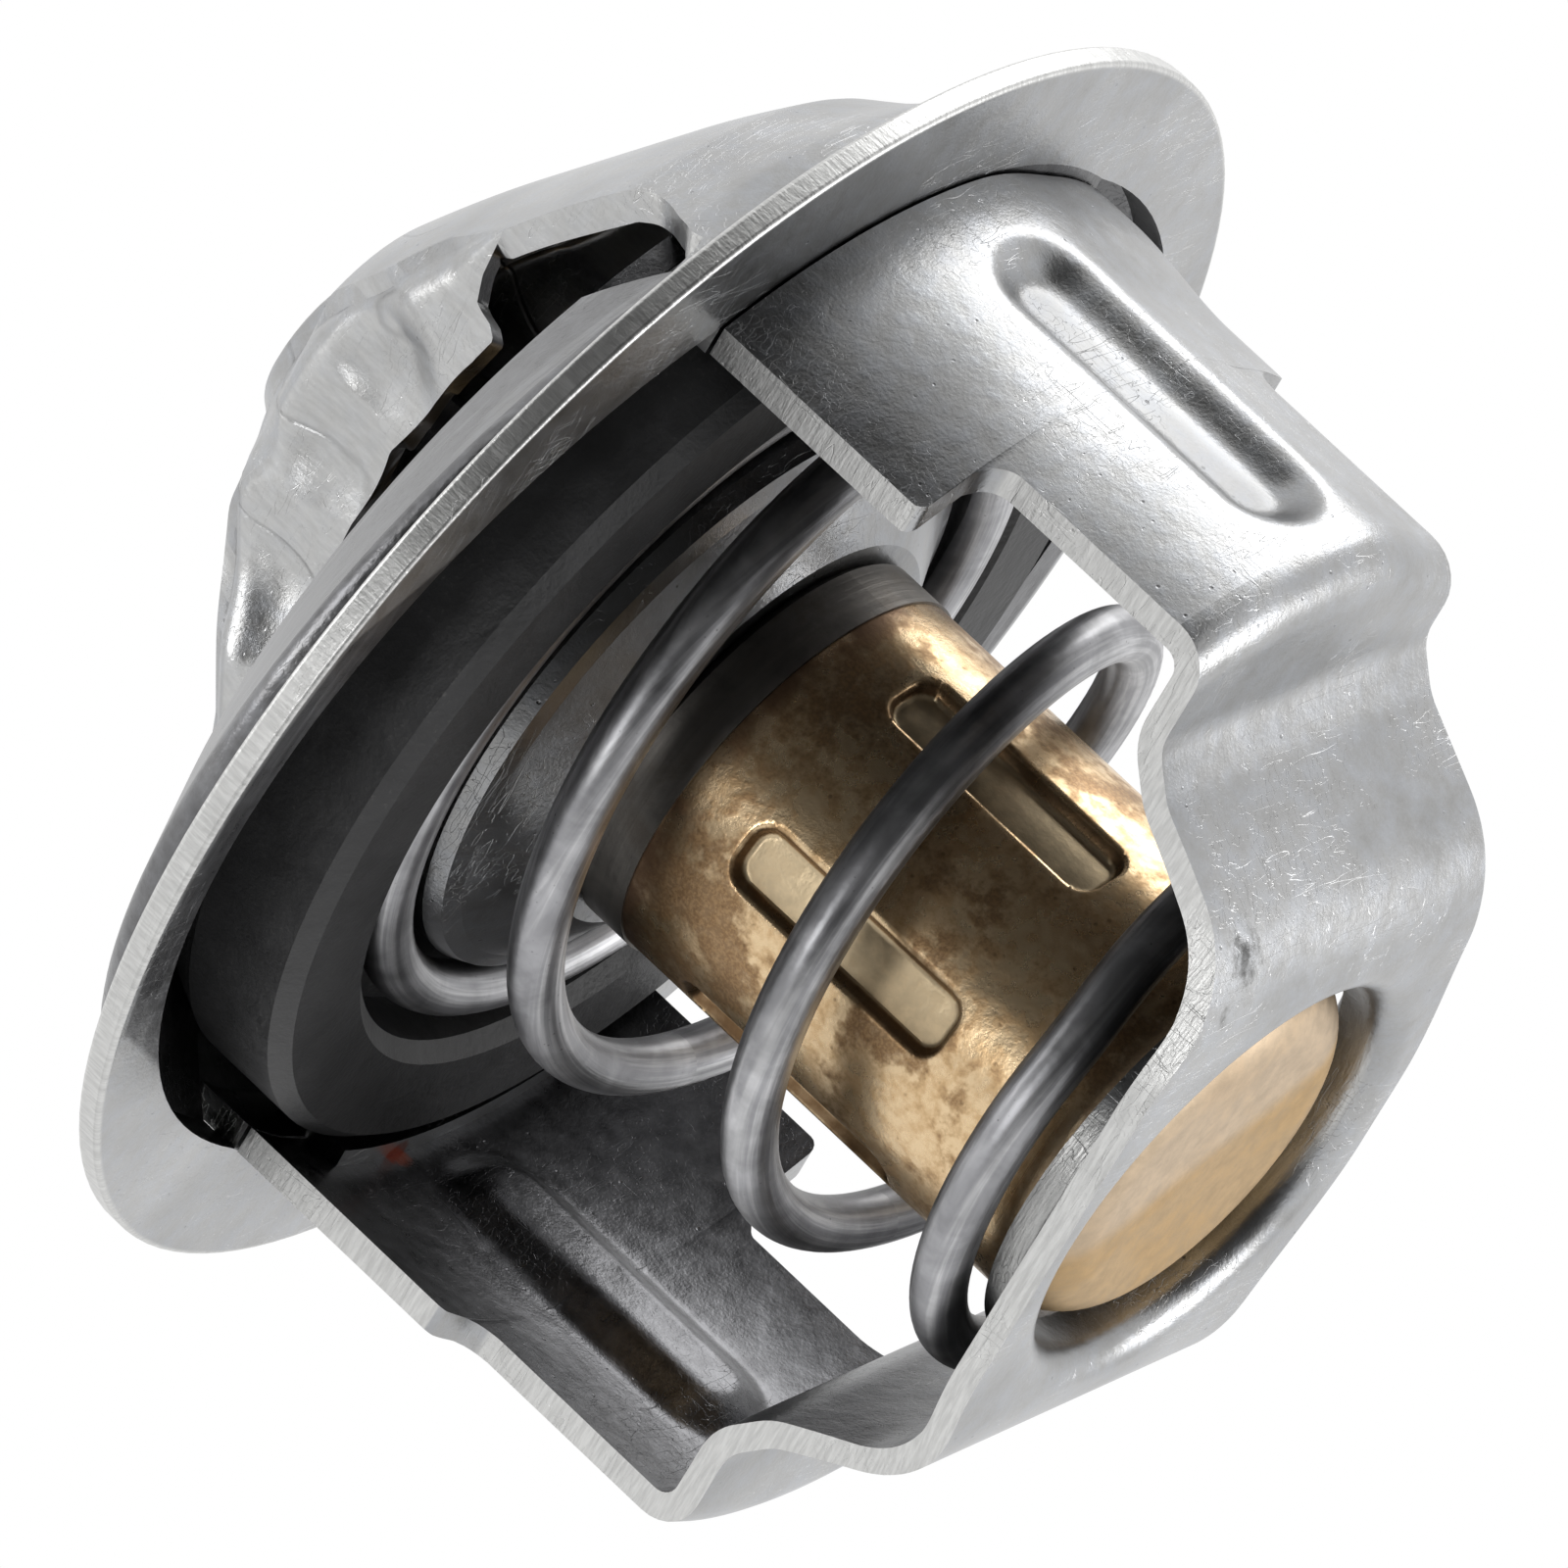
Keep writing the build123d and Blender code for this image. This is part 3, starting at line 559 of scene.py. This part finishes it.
# Materials
class Surface:
    """A material, with short ways to add nodes to it; places and heights in millimetres."""

    def __init__(self, name):
        self.mat = bpy.data.materials.new(name)
        self.mat.use_nodes = True
        self.tree = self.mat.node_tree
        self.bsdf = self.tree.nodes["Principled BSDF"]
        coords = self.add("ShaderNodeTexCoord")
        self.normal = coords.outputs["Normal"]
        scaled = self.add("ShaderNodeVectorMath", operation="SCALE")
        self.tree.links.new(coords.outputs["Object"], scaled.inputs[0])
        scaled.inputs["Scale"].default_value = 1000.0
        self.mm = scaled.outputs[0]
        split = self.add("ShaderNodeSeparateXYZ")
        self.tree.links.new(self.mm, split.inputs[0])
        self.x, self.y, self.z = split.outputs
        split = self.add("ShaderNodeSeparateXYZ")
        self.tree.links.new(self.normal, split.inputs[0])
        self.nx, self.ny, self.nz = split.outputs
        self.r = self.calc("SQRT", self.plus(self.times(self.x, self.x), self.times(self.y, self.y)))
        self.turn = self.calc("ARCTAN2", self.y, self.x)

    def add(self, kind, **settings):
        node = self.tree.nodes.new(kind)
        for key, value in settings.items():
            setattr(node, key, value)
        return node

    def put(self, socket, value):
        if isinstance(value, bpy.types.NodeSocket):
            self.tree.links.new(value, socket)
        elif isinstance(value, tuple) and len(value) == 3 and socket.type == "RGBA":
            socket.default_value = (*value, 1.0)
        else:
            socket.default_value = value

    def calc(self, operation, *values):
        node = self.add("ShaderNodeMath", operation=operation)
        for socket, value in zip(node.inputs, values):
            self.put(socket, value)
        return node.outputs[0]

    def plus(self, a, b):
        return self.calc("ADD", a, b)

    def minus(self, a, b):
        return self.calc("SUBTRACT", a, b)

    def times(self, a, b):
        return self.calc("MULTIPLY", a, b)

    def larger(self, a, b):
        return self.calc("MAXIMUM", a, b)

    def size(self, a):
        return self.calc("ABSOLUTE", a)

    def sway(self, noise, amount):
        """The noise as a swing about 0, amount wide."""
        return self.times(self.minus(noise, 0.5), amount)

    def outward(self):
        """How far a face looks away from the axis, from -1 to 1."""
        towards = self.plus(self.times(self.nx, self.x), self.times(self.ny, self.y))
        return self.calc("DIVIDE", towards, self.larger(self.r, 1.0))

    def vector(self, x, y, z):
        node = self.add("ShaderNodeCombineXYZ")
        for socket, value in zip(node.inputs, (x, y, z)):
            self.put(socket, value)
        return node.outputs[0]

    def stretch(self, x, y, z):
        node = self.add("ShaderNodeVectorMath", operation="MULTIPLY")
        self.put(node.inputs[0], self.mm)
        node.inputs[1].default_value = (x, y, z)
        return node.outputs[0]

    def noise(self, scale, detail, rough, distort=0.0, vector=None, seed=0.0):
        node = self.add("ShaderNodeTexNoise")
        shift = self.add("ShaderNodeVectorMath", operation="ADD")
        self.put(shift.inputs[0], vector or self.mm)
        shift.inputs[1].default_value = (seed * 7.3, seed * 3.1, seed * 5.7)
        self.put(node.inputs["Vector"], shift.outputs[0])
        settings = {"Scale": scale, "Detail": detail, "Roughness": rough, "Distortion": distort}
        for key, value in settings.items():
            node.inputs[key].default_value = value
        return node.outputs["Fac"]

    def dots(self, scale, low, high):
        """1 in small scattered dots, and 0 between them."""
        node = self.add("ShaderNodeTexVoronoi")
        self.put(node.inputs["Vector"], self.mm)
        node.inputs["Scale"].default_value = scale
        return self.fade(node.outputs["Distance"], low, high, 1.0, 0.0)

    def fade(self, value, low, high, start=0.0, end=1.0):
        node = self.add("ShaderNodeMapRange", interpolation_type="SMOOTHSTEP")
        for socket, item in zip(node.inputs, (value, low, high, start, end)):
            self.put(socket, item)
        return node.outputs[0]

    def mix(self, factor, a, b):
        node = self.add("ShaderNodeMix", data_type="RGBA")
        self.put(node.inputs["Factor"], factor)
        self.put(node.inputs[6], a)
        self.put(node.inputs[7], b)
        return node.outputs[2]

    def bump(self, height, depth_mm, strength, base=None):
        node = self.add("ShaderNodeBump")
        node.inputs["Strength"].default_value = strength
        node.inputs["Distance"].default_value = depth_mm * MM
        self.put(node.inputs["Height"], height)
        if base:
            self.put(node.inputs["Normal"], base)
        return node.outputs[0]

    def shade(self, reach_mm, low, high, dark):
        """1 in the open and dark in deep corners, as painted shade."""
        node = self.add("ShaderNodeAmbientOcclusion", samples=2)
        node.inputs["Distance"].default_value = reach_mm * MM
        return self.fade(node.outputs["AO"], low, high, dark, 1.0)

    def scale_colour(self, colour, factor):
        node = self.add("ShaderNodeVectorMath", operation="SCALE")
        self.put(node.inputs[0], colour)
        self.put(node.inputs["Scale"], factor)
        return node.outputs[0]

    def finish(self, colour, rough, normal, metallic=1.0):
        self.put(self.bsdf.inputs["Base Color"], colour)
        self.put(self.bsdf.inputs["Roughness"], rough)
        self.put(self.bsdf.inputs["Normal"], normal)
        self.bsdf.inputs["Metallic"].default_value = metallic
        return self.mat


def blot(m, centre, reach, soft, noise):
    """1 inside an uneven round spot at a point of the part, in millimetres."""
    x, y, z = [m.calc("POWER", m.minus(axis, c), 2.0) for axis, c in zip((m.x, m.y, m.z), centre)]
    away = m.calc("SQRT", m.plus(m.plus(x, y), z))
    away = m.plus(away, m.sway(noise, reach * 2.2))
    return m.fade(away, reach, reach + soft, 1.0, 0.0)


# Stains on the lower frame: point, reach and colour
STAINS = (((11.4, -6.6, -25.4), 0.8, (0.05, 0.05, 0.05)),
          ((10.0, -7.4, -26.1), 0.6, (0.06, 0.06, 0.06)),
          ((22.2, -7.4, -14.0), 0.35, (0.07, 0.07, 0.07)),
          ((-21.4, -2.4, -1.5), 0.4, (0.30, 0.055, 0.016)))
SCRATCHES = ((0.25, 2.2, 2.2), (2.0, 0.22, 2.4), (1.6, 1.9, 0.16))
COOL_TINT = (0.93, 0.95, 0.99)
CUT_STEEL = (0.62, 0.62, 0.61)
SCRATCH = (0.8, 0.8, 0.8)
PIT = (0.09, 0.085, 0.08)
CREASE_SHADE = (0.2, 0.2, 0.2)
PAINTED_SHADE_GREY = (0.115, 0.115, 0.12)


def pressed_steel(name, light, painted_corner_shade, cut, pits, dark_side=None):
    """Satin sheet steel: clouds, mottling, fine scratches, pits, painted shade in corners and on inner faces,
    and bright cut edges.
    """
    m = Surface(name)
    cloud = m.noise(0.16, 2.0, 0.5, seed=1.3)
    mottle = m.noise(1.1, 4.0, 0.62, seed=4.1)
    fine = m.noise(8.0, 2.0, 0.6, seed=2.2)
    tone = m.plus(m.sway(cloud, 0.75), m.sway(mottle, 0.55))
    tone = m.plus(1.0, m.plus(tone, m.sway(fine, 0.16)))
    cool = tuple(c * f for c, f in zip(light, COOL_TINT))
    colour = m.scale_colour(m.mix(m.fade(mottle, 0.35, 0.7), light, cool), tone)
    rough = m.plus(0.24, m.times(mottle, 0.16))
    # scratches in a few directions
    lines = None
    for k, (sx, sy, sz) in enumerate(SCRATCHES):
        n = m.noise(1.0, 1.0, 0.4, 0.0, m.stretch(sx, sy, sz), 7.0 + 3.1 * k)
        line = m.fade(m.size(m.minus(n, 0.52)), 0.0, 0.006, 1.0, 0.0)
        line = m.times(line, m.fade(cloud, 0.44 + 0.05 * k, 0.52 + 0.05 * k))
        lines = line if lines is None else m.larger(lines, line)
    colour = m.mix(m.times(lines, 0.35), colour, SCRATCH)
    # pits and specks
    pit = m.times(m.dots(1.35, 0.05, 0.13), m.times(m.fade(mottle, 0.5, 0.62), pits))
    colour = m.mix(pit, colour, PIT)
    if cut == "legs":
        edge = m.fade(m.size(m.ny), 0.80, 0.93)
        grain = m.noise(1.0, 3.0, 0.6, 0.2, m.stretch(0.8, 0.8, 7.5), 3.0)
    elif cut == "rim":
        edge = m.fade(m.r, RIM - 0.28, RIM - 0.1)
        grain = m.noise(1.0, 3.0, 0.6, 0.2, m.vector(m.times(m.turn, 190.0), m.z, 0.0), 3.0)
    else:
        edge = m.fade(m.size(m.ny), 0.86, 0.95, 0.0, 0.45)
        grain = m.noise(1.0, 3.0, 0.6, 0.2, m.stretch(4.0, 0.6, 1.0), 3.0)
    bright = m.scale_colour(CUT_STEEL, m.fade(grain, 0.3, 0.72, 0.86, 1.1))
    colour = m.mix(edge, colour, bright)
    rough = m.plus(rough, m.times(edge, 0.08))
    # painted shade: the faces that dark_side picks turn dark grey
    if dark_side:
        film_and_painted_shade = m.times(dark_side(m), m.fade(mottle, 0.2, 0.8, 1.0, 0.9))
        colour = m.mix(film_and_painted_shade, colour, m.scale_colour(PAINTED_SHADE_GREY, m.fade(mottle, 0.3, 0.75, 0.85, 1.3)))
        rough = m.minus(rough, m.times(film_and_painted_shade, 0.02))
    if cut == "legs":
        for centre, reach, tint in STAINS:
            colour = m.mix(m.times(blot(m, centre, reach, reach * 0.9, mottle), 0.85), colour, tint)
        # painted shade on the near side of one leg and in its rib
        outer = m.times(m.fade(m.nx, 0.15, 0.4), m.fade(m.x, 14.0, 16.0))
        near = m.fade(m.y, -WIDE_HALF, -4.5, 0.5, 1.0)
        level = m.calc("MINIMUM", m.larger(m.z, RIB_END + RIB_HALF), RIB_TOP - RIB_HALF)
        level = m.minus(m.z, level)
        across = m.plus(m.y, 0.5)
        groove = m.calc("SQRT", m.plus(m.times(level, level), m.times(across, across)))
        near = m.times(near, m.fade(groove, 0.5, 2.1, 0.55, 1.0))
        colour = m.scale_colour(colour, m.plus(m.minus(1.0, outer), m.times(outer, near)))
    crease = 0.0
    if cut == "bridge":
        # soft creases in the boss wall, with painted shade along them
        fold = m.size(m.minus(m.noise(0.17, 0.0, 0.4, 0.0, m.stretch(1.0, 1.0, 0.6), 21.0), 0.5))
        crease = m.times(m.fade(fold, 0.0, 0.016, 1.0, 0.0), m.fade(m.size(m.x), 7.5, 10.5, 1.0, 0.0))
        crease = m.times(crease, m.fade(m.z, 7.5, 9.5))
        colour = m.mix(m.times(crease, 0.3), colour, CREASE_SHADE)
    # painted shade in deep corners
    colour = m.scale_colour(colour, m.shade(*painted_corner_shade))
    if cut == "bridge":
        # the cut edges of the feet take the bright cut-steel colour over the painted shade, a painted
        # highlight
        foot = m.times(m.fade(m.size(m.ny), 0.9, 0.97), m.fade(m.size(m.x), 18.2, 18.8))
        colour = m.mix(foot, colour, bright)
    height = m.plus(m.times(mottle, 0.6), m.times(fine, 0.18))
    height = m.minus(height, m.times(lines, 0.25))
    height = m.minus(height, m.times(pit, 0.9))
    height = m.plus(height, m.times(m.times(edge, grain), 0.4))
    height = m.plus(height, m.times(cloud, 2.5))
    height = m.minus(height, m.times(crease, 0.7))
    return m.finish(colour, rough, m.bump(height, 0.09, 0.5))


def inner_faces(m):
    """Faces of the lower frame that look at the axis or up."""
    wall = m.times(m.fade(m.outward(), -0.75, -0.35, 1.0, 0.0), m.fade(m.r, 12.0, 15.0))
    floor = m.times(m.fade(m.nz, 0.3, 0.7), m.fade(m.z, -14.0, -16.0, 0.0, 0.8))
    return m.larger(wall, floor)


def under_pan(m):
    """Where painted shade goes on the underside of the drawn pan, inside its wall."""
    inside = m.times(m.fade(m.z, 0.02, 0.5), m.fade(m.nz, -0.25, 0.05, 1.0, 0.0))
    towards = m.outward()
    wall = m.times(m.fade(m.z, 0.02, 0.3), m.fade(towards, -0.5, -0.2, 1.0, 0.0))
    # painted shade on the land, which stays bright only outside the straight runs from the slots' corners to
    # the rim
    reach = m.plus(m.times(m.size(m.x), 0.812), m.times(m.size(m.y), 0.584))
    land = m.times(m.fade(reach, 21.9, 22.2, 1.0, 0.0), m.fade(m.nz, -0.95, -0.6, 1.0, 0.0))
    outer = m.fade(m.r, RIM - 0.5, RIM - 0.25, 1.0, 0.0)
    land = m.times(land, m.times(m.fade(m.size(m.y), WIDE_HALF, 12.0), outer))
    # streaks where the painted shade is lighter, a painted sheen
    painted_sheen_streak = m.noise(1.0, 3.0, 0.6, 0.3, m.vector(m.times(m.turn, 2.6), m.times(m.r, 1.1), 0.0), 6.2)
    # a painted dark reflection on the near side of the pan's outer slope
    slope = m.times(m.fade(m.z, 1.02, 1.25), m.fade(towards, 0.2, 0.45))
    slope = m.times(m.times(slope, m.fade(m.y, -9.0, -4.0, 1.0, 0.0)), 0.9)
    film_and_painted_shade = m.larger(m.larger(inside, wall), m.larger(land, slope))
    return m.times(film_and_painted_shade, m.fade(painted_sheen_streak, 0.5, 0.68, 1.0, 0.72))


def inside_bridge(m):
    """Faces of the bridge that look at the axis or down."""
    wall = m.times(m.fade(m.outward(), -0.7, -0.3, 1.0, 0.0), m.fade(m.r, 9.0, 12.0))
    return m.larger(wall, m.fade(m.nz, -0.7, -0.35, 1.0, 0.0))


GOLD, DEEP_GOLD = (0.82, 0.62, 0.38), (0.66, 0.45, 0.24)
BROWN, PALE_BROWN = (0.22, 0.125, 0.062), (0.38, 0.235, 0.115)
BRASS_SPOT, SLOPE_BROWN, RING_BROWN = (0.12, 0.07, 0.035), (0.15, 0.085, 0.04), (0.17, 0.10, 0.06)
POCKET_TAN, END_DULL, END_PALE = (0.74, 0.59, 0.38), (0.50, 0.35, 0.185), (0.56, 0.44, 0.31)


def brass_skin():
    """Tarnished brass: gold patches, brown tarnish, tan pocket floors, a matt end and painted shade in deep
    corners.
    """
    m = Surface("brass_skin")
    big = m.noise(0.26, 2.0, 0.55, 0.5, seed=2.7)
    mottle = m.noise(1.5, 4.0, 0.62, 0.0, seed=9.4)
    fine = m.noise(7.0, 2.0, 0.62, seed=1.1)
    stain = m.plus(m.times(big, 0.62), m.times(mottle, 0.38))
    gold = m.mix(m.fade(mottle, 0.35, 0.65), GOLD, DEEP_GOLD)
    brown = m.mix(m.fade(fine, 0.4, 0.65), BROWN, PALE_BROWN)
    tarnish = m.fade(m.plus(stain, m.fade(m.z, -14.0, -8.5, 0.0, 0.05)), 0.49, 0.62)
    colour = m.mix(m.times(tarnish, 0.8), gold, brown)
    spots = m.times(m.dots(1.9, 0.08, 0.2), m.fade(mottle, 0.45, 0.6))
    colour = m.mix(m.times(spots, 0.5), colour, BRASS_SPOT)
    # pockets
    below_top = m.fade(m.z, POCKET_TOP, POCKET_TOP + 0.3, 1.0, 0.0)
    along = m.times(m.fade(m.z, POCKET_END - 0.3, POCKET_END), below_top)
    floor = m.times(m.fade(m.r, 7.33, 7.42, 1.0, 0.0), along)
    slope = m.times(m.times(m.fade(m.r, 7.34, 7.46), m.fade(m.r, 7.7, 7.84, 1.0, 0.0)), along)
    colour = m.mix(floor, colour, m.scale_colour(POCKET_TAN, m.fade(mottle, 0.3, 0.7, 0.85, 1.08)))
    colour = m.mix(m.times(slope, 0.85), colour, SLOPE_BROWN)
    # a brown ring at the top of the wall, and a matt end with one paler side
    top = m.times(m.fade(m.z, -7.6, CUP_TOP), m.fade(big, 0.3, 0.6, 0.35, 0.9))
    colour = m.mix(top, colour, RING_BROWN)
    end = m.fade(m.z, -25.2, -23.9, 1.0, 0.0)
    facet = m.fade(m.plus(m.times(m.x, 0.8), m.times(m.y, -0.45)), 0.2, 1.4)
    matt = m.mix(facet, END_DULL, END_PALE)
    matt = m.scale_colour(matt, m.fade(mottle, 0.25, 0.75, 0.86, 1.1))
    colour = m.mix(end, colour, matt)
    rough = m.plus(m.fade(stain, 0.45, 0.6, 0.27, 0.42), m.times(end, 0.2))
    rough = m.plus(rough, m.times(floor, 0.12))
    # painted shade in deep corners
    colour = m.scale_colour(colour, m.shade(6.0, 0.1, 0.6, 0.45))
    height = m.plus(m.times(mottle, 0.55), m.times(fine, 0.16))
    height = m.plus(height, m.times(big, 1.6))
    return m.finish(colour, rough, m.bump(height, 0.07, 0.4), 0.92)


def drawn_wire():
    """Dark drawn wire with bright lengthwise lines."""
    m = Surface("drawn_wire")
    along = m.vector(m.times(m.r, 5.0), m.times(m.turn, 1.2), m.times(m.z, 0.5))
    lines = m.noise(1.0, 3.0, 0.6, 0.0, along, 5.0)
    patch = m.noise(0.35, 4.0, 0.6, 0.4, seed=6.0)
    fine = m.noise(5.0, 4.0, 0.6, seed=8.0)
    colour = m.mix(m.fade(lines, 0.4, 0.66), (0.36, 0.36, 0.375), (0.56, 0.56, 0.57))
    colour = m.scale_colour(colour, m.fade(patch, 0.3, 0.7, 0.72, 1.2))
    spot = m.times(m.dots(2.6, 0.05, 0.14), m.fade(patch, 0.5, 0.65))
    colour = m.mix(m.times(spot, 0.7), colour, (0.05, 0.045, 0.04))
    rough = m.plus(0.33, m.times(patch, 0.16))
    # painted shade in deep corners
    colour = m.scale_colour(colour, m.shade(5.0, 0.1, 0.7, 0.3))
    height = m.plus(m.times(lines, 0.7), m.times(fine, 0.2))
    return m.finish(colour, rough, m.bump(height, 0.05, 0.5))


def turned_steel(name, light, rough_low, ring_scale, film_and_painted_shade=0.0):
    """Round steel with fine rings round the axis."""
    m = Surface(name)
    round_axis = m.vector(m.times(m.r, ring_scale), m.times(m.z, ring_scale), m.times(m.turn, 0.6))
    rings = m.noise(1.0, 3.0, 0.6, 0.0, round_axis, 2.0)
    patch = m.noise(0.5, 5.0, 0.62, 0.4, seed=12.0)
    fine = m.noise(4.5, 5.0, 0.6, seed=3.0)
    colour = m.scale_colour(light, m.plus(m.fade(patch, 0.25, 0.75, 0.68, 1.12), m.sway(rings, 0.5)))
    colour = m.mix(m.times(m.fade(patch, 0.5, 0.7), film_and_painted_shade), colour, (0.10, 0.075, 0.05))
    rough = m.plus(rough_low, m.times(patch, 0.16))
    # painted shade in deep corners
    colour = m.scale_colour(colour, m.shade(5.0, 0.1, 0.7, 0.25))
    height = m.plus(m.times(rings, 0.6), m.times(fine, 0.3))
    return m.finish(colour, rough, m.bump(height, 0.05, 0.5))


def matt_skin(name, light, rough_low, grain):
    """Rubber or wax: matt, with fine grain and a little dust."""
    m = Surface(name)
    patch = m.noise(0.4, 4.0, 0.6, 0.3, seed=14.0)
    fine = m.noise(grain, 5.0, 0.65, seed=5.0)
    colour = m.scale_colour(light, m.fade(patch, 0.25, 0.75, 0.75, 1.45))
    dust = m.times(m.fade(fine, 0.56, 0.74), m.fade(patch, 0.45, 0.7, 0.0, 0.25))
    colour = m.mix(dust, colour, (0.22, 0.215, 0.2))
    rough = m.plus(rough_low, m.times(patch, 0.2))
    normal = m.bump(fine, 0.06, 0.5, m.bump(patch, 0.5, 0.3))
    return m.finish(colour, rough, normal, 0.0)


# pressed steel takes its name, colour, painted shade in corners, kind of cut edge, pits and the inner faces
# that get painted shade
STEEL = (0.42, 0.42, 0.418)
RUBBER = (0.022, 0.022, 0.023)
looks = {
    "lower_frame": pressed_steel("frame_steel", STEEL, (9.0, 0.1, 0.75, 0.3), "legs", 0.5, inner_faces),
    "upper_bridge": pressed_steel("bridge_steel", STEEL, (7.0, 0.1, 0.75, 0.3), "bridge", 0.5, inside_bridge),
    "flange_plate": pressed_steel("flange_steel", STEEL, (7.0, 0.1, 0.7, 0.25), "rim", 0.35, under_pan),
    "valve_plate": pressed_steel("plate_steel", (0.2, 0.2, 0.205), (6.0, 0.1, 0.7, 0.3), "none", 0.5),
    "spring_cup": pressed_steel("cup_steel", (0.40, 0.40, 0.40), (7.0, 0.15, 0.8, 0.22), "none", 1.0),
    "retaining_collar": turned_steel("collar_steel", (0.25, 0.235, 0.215), 0.34, 3.0, 0.4),
    "piston": turned_steel("piston_steel", (0.64, 0.64, 0.65), 0.14, 9.0),
    "plug_washer": turned_steel("washer_steel", (0.6, 0.6, 0.6), 0.22, 6.0),
    "piston_guide": turned_steel("guide_brass", (0.60, 0.43, 0.22), 0.26, 4.0, 0.6),
    "wax_cup": brass_skin(),
    "main_spring": drawn_wire(),
    "valve_seal": matt_skin("seal_rubber", RUBBER, 0.42, 5.0),
    "rubber_plug": matt_skin("plug_rubber", RUBBER, 0.5, 5.0),
    "rubber_diaphragm": matt_skin("diaphragm_rubber", (0.025, 0.024, 0.023), 0.5, 5.0),
    "wax_charge": matt_skin("wax", (0.5, 0.37, 0.22), 0.5, 3.0),
}
for name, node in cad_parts.items():
    node.data.materials.clear()
    node.data.materials.append(looks[name])
for obj, name in ((lower_frame, "lower_frame"), (bridge, "upper_bridge"), (cup, "wax_cup")):
    obj.data.materials.append(looks[name])

# The spring: the same coil as its solid
coil = bpy.data.objects.new("main_spring_wire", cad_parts["main_spring"].data.copy())
scene.collection.objects.link(coil)
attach(coil, "frame")
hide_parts("main_spring")
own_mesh(coil)

# Floor that shows only from above, world, dark card and lights, with sizes in metres
FLOOR_HALF = 3.0
FLOOR_TONE = (0.82, 0.82, 0.81, 1)
SKY_LIGHT = 0.55


def flat_square(name, corners):
    """One flat face with a material of its own."""
    mesh = bpy.data.meshes.new(name)
    mesh.from_pydata([tuple(c) for c in corners], [], [(0, 1, 2, 3)])
    obj = bpy.data.objects.new(name, mesh)
    scene.collection.objects.link(obj)
    mat = bpy.data.materials.new(name)
    mat.use_nodes = True
    mesh.materials.append(mat)
    return obj, mat.node_tree


CORNERS = ((-1, -1), (1, -1), (1, 1), (-1, 1))
floor, nt = flat_square("floor", [(FLOOR_HALF * a, FLOOR_HALF * b, BASE_UNDER * MM) for a, b in CORNERS])
floor.visible_shadow = False
floor.visible_glossy = False
paint = nt.nodes["Principled BSDF"]
paint.inputs["Base Color"].default_value = FLOOR_TONE
paint.inputs["Roughness"].default_value = 0.8
clear = nt.nodes.new("ShaderNodeBsdfTransparent")
side = nt.nodes.new("ShaderNodeNewGeometry")
choose = nt.nodes.new("ShaderNodeMixShader")
nt.links.new(side.outputs["Backfacing"], choose.inputs[0])
nt.links.new(paint.outputs[0], choose.inputs[1])
nt.links.new(clear.outputs[0], choose.inputs[2])
nt.links.new(choose.outputs[0], nt.nodes["Material Output"].inputs["Surface"])

# the background is white to look at and mirrors as white, but lights the part less
world = bpy.data.worlds.new("world")
scene.world = world
world.use_nodes = True
nt = world.node_tree
soft = nt.nodes["Background"]
soft.inputs["Color"].default_value = (1, 1, 1, 1)
soft.inputs["Strength"].default_value = SKY_LIGHT
white = nt.nodes.new("ShaderNodeBackground")
white.inputs["Color"].default_value = (1, 1, 1, 1)
path = nt.nodes.new("ShaderNodeLightPath")
seen = path.outputs["Is Camera Ray"]
for ray in ("Is Glossy Ray", "Is Transmission Ray"):
    either = nt.nodes.new("ShaderNodeMath")
    either.operation = "MAXIMUM"
    nt.links.new(seen, either.inputs[0])
    nt.links.new(path.outputs[ray], either.inputs[1])
    seen = either.outputs[0]
mix = nt.nodes.new("ShaderNodeMixShader")
nt.links.new(seen, mix.inputs[0])
nt.links.new(soft.outputs[0], mix.inputs[1])
nt.links.new(white.outputs[0], mix.inputs[2])
nt.links.new(mix.outputs[0], nt.nodes["World Output"].inputs["Surface"])


def card(name, direction, distance, width, shade):
    """A grey card out of the camera's sight that gives the metal something dark to mirror."""
    d = direction.normalized()
    side = d.orthogonal().normalized()
    over = d.cross(side)
    half = width / 2
    obj, tree = flat_square(name, [d * distance + side * (a * half) + over * (b * half) for a, b in CORNERS])
    tree.nodes["Principled BSDF"].inputs["Base Color"].default_value = (shade, shade, shade, 1)
    tree.nodes["Principled BSDF"].inputs["Roughness"].default_value = 1.0
    obj.visible_camera = False
    obj.visible_shadow = False


card("card_front", back + up * 0.25, 0.5, 1.5, 0.03)


def lamp(name, direction, distance, size, watts):
    """A round area lamp that shines at the part's origin."""
    data = bpy.data.lights.new(name, "AREA")
    data.shape = "DISK"
    data.size = size
    data.energy = watts
    obj = bpy.data.objects.new(name, data)
    scene.collection.objects.link(obj)
    d = direction.normalized()
    obj.matrix_world = Matrix.Translation(d * distance) @ d.to_track_quat("Z", "Y").to_matrix().to_4x4()


lamp("lamp_right", right + back * 0.12 - up * 0.35, 0.6, 0.4, 1.45)
lamp("lamp_above", up * 0.8 - back * 0.35 + right * 0.5, 0.6, 0.4, 1.25)
lamp("lamp_left", -right * 0.9 + back * 0.2 + up * 0.45, 0.6, 0.3, 0.8)
lamp("lamp_front", back * 0.8 - up * 0.15 - right * 0.55, 0.45, 0.1, 0.35)
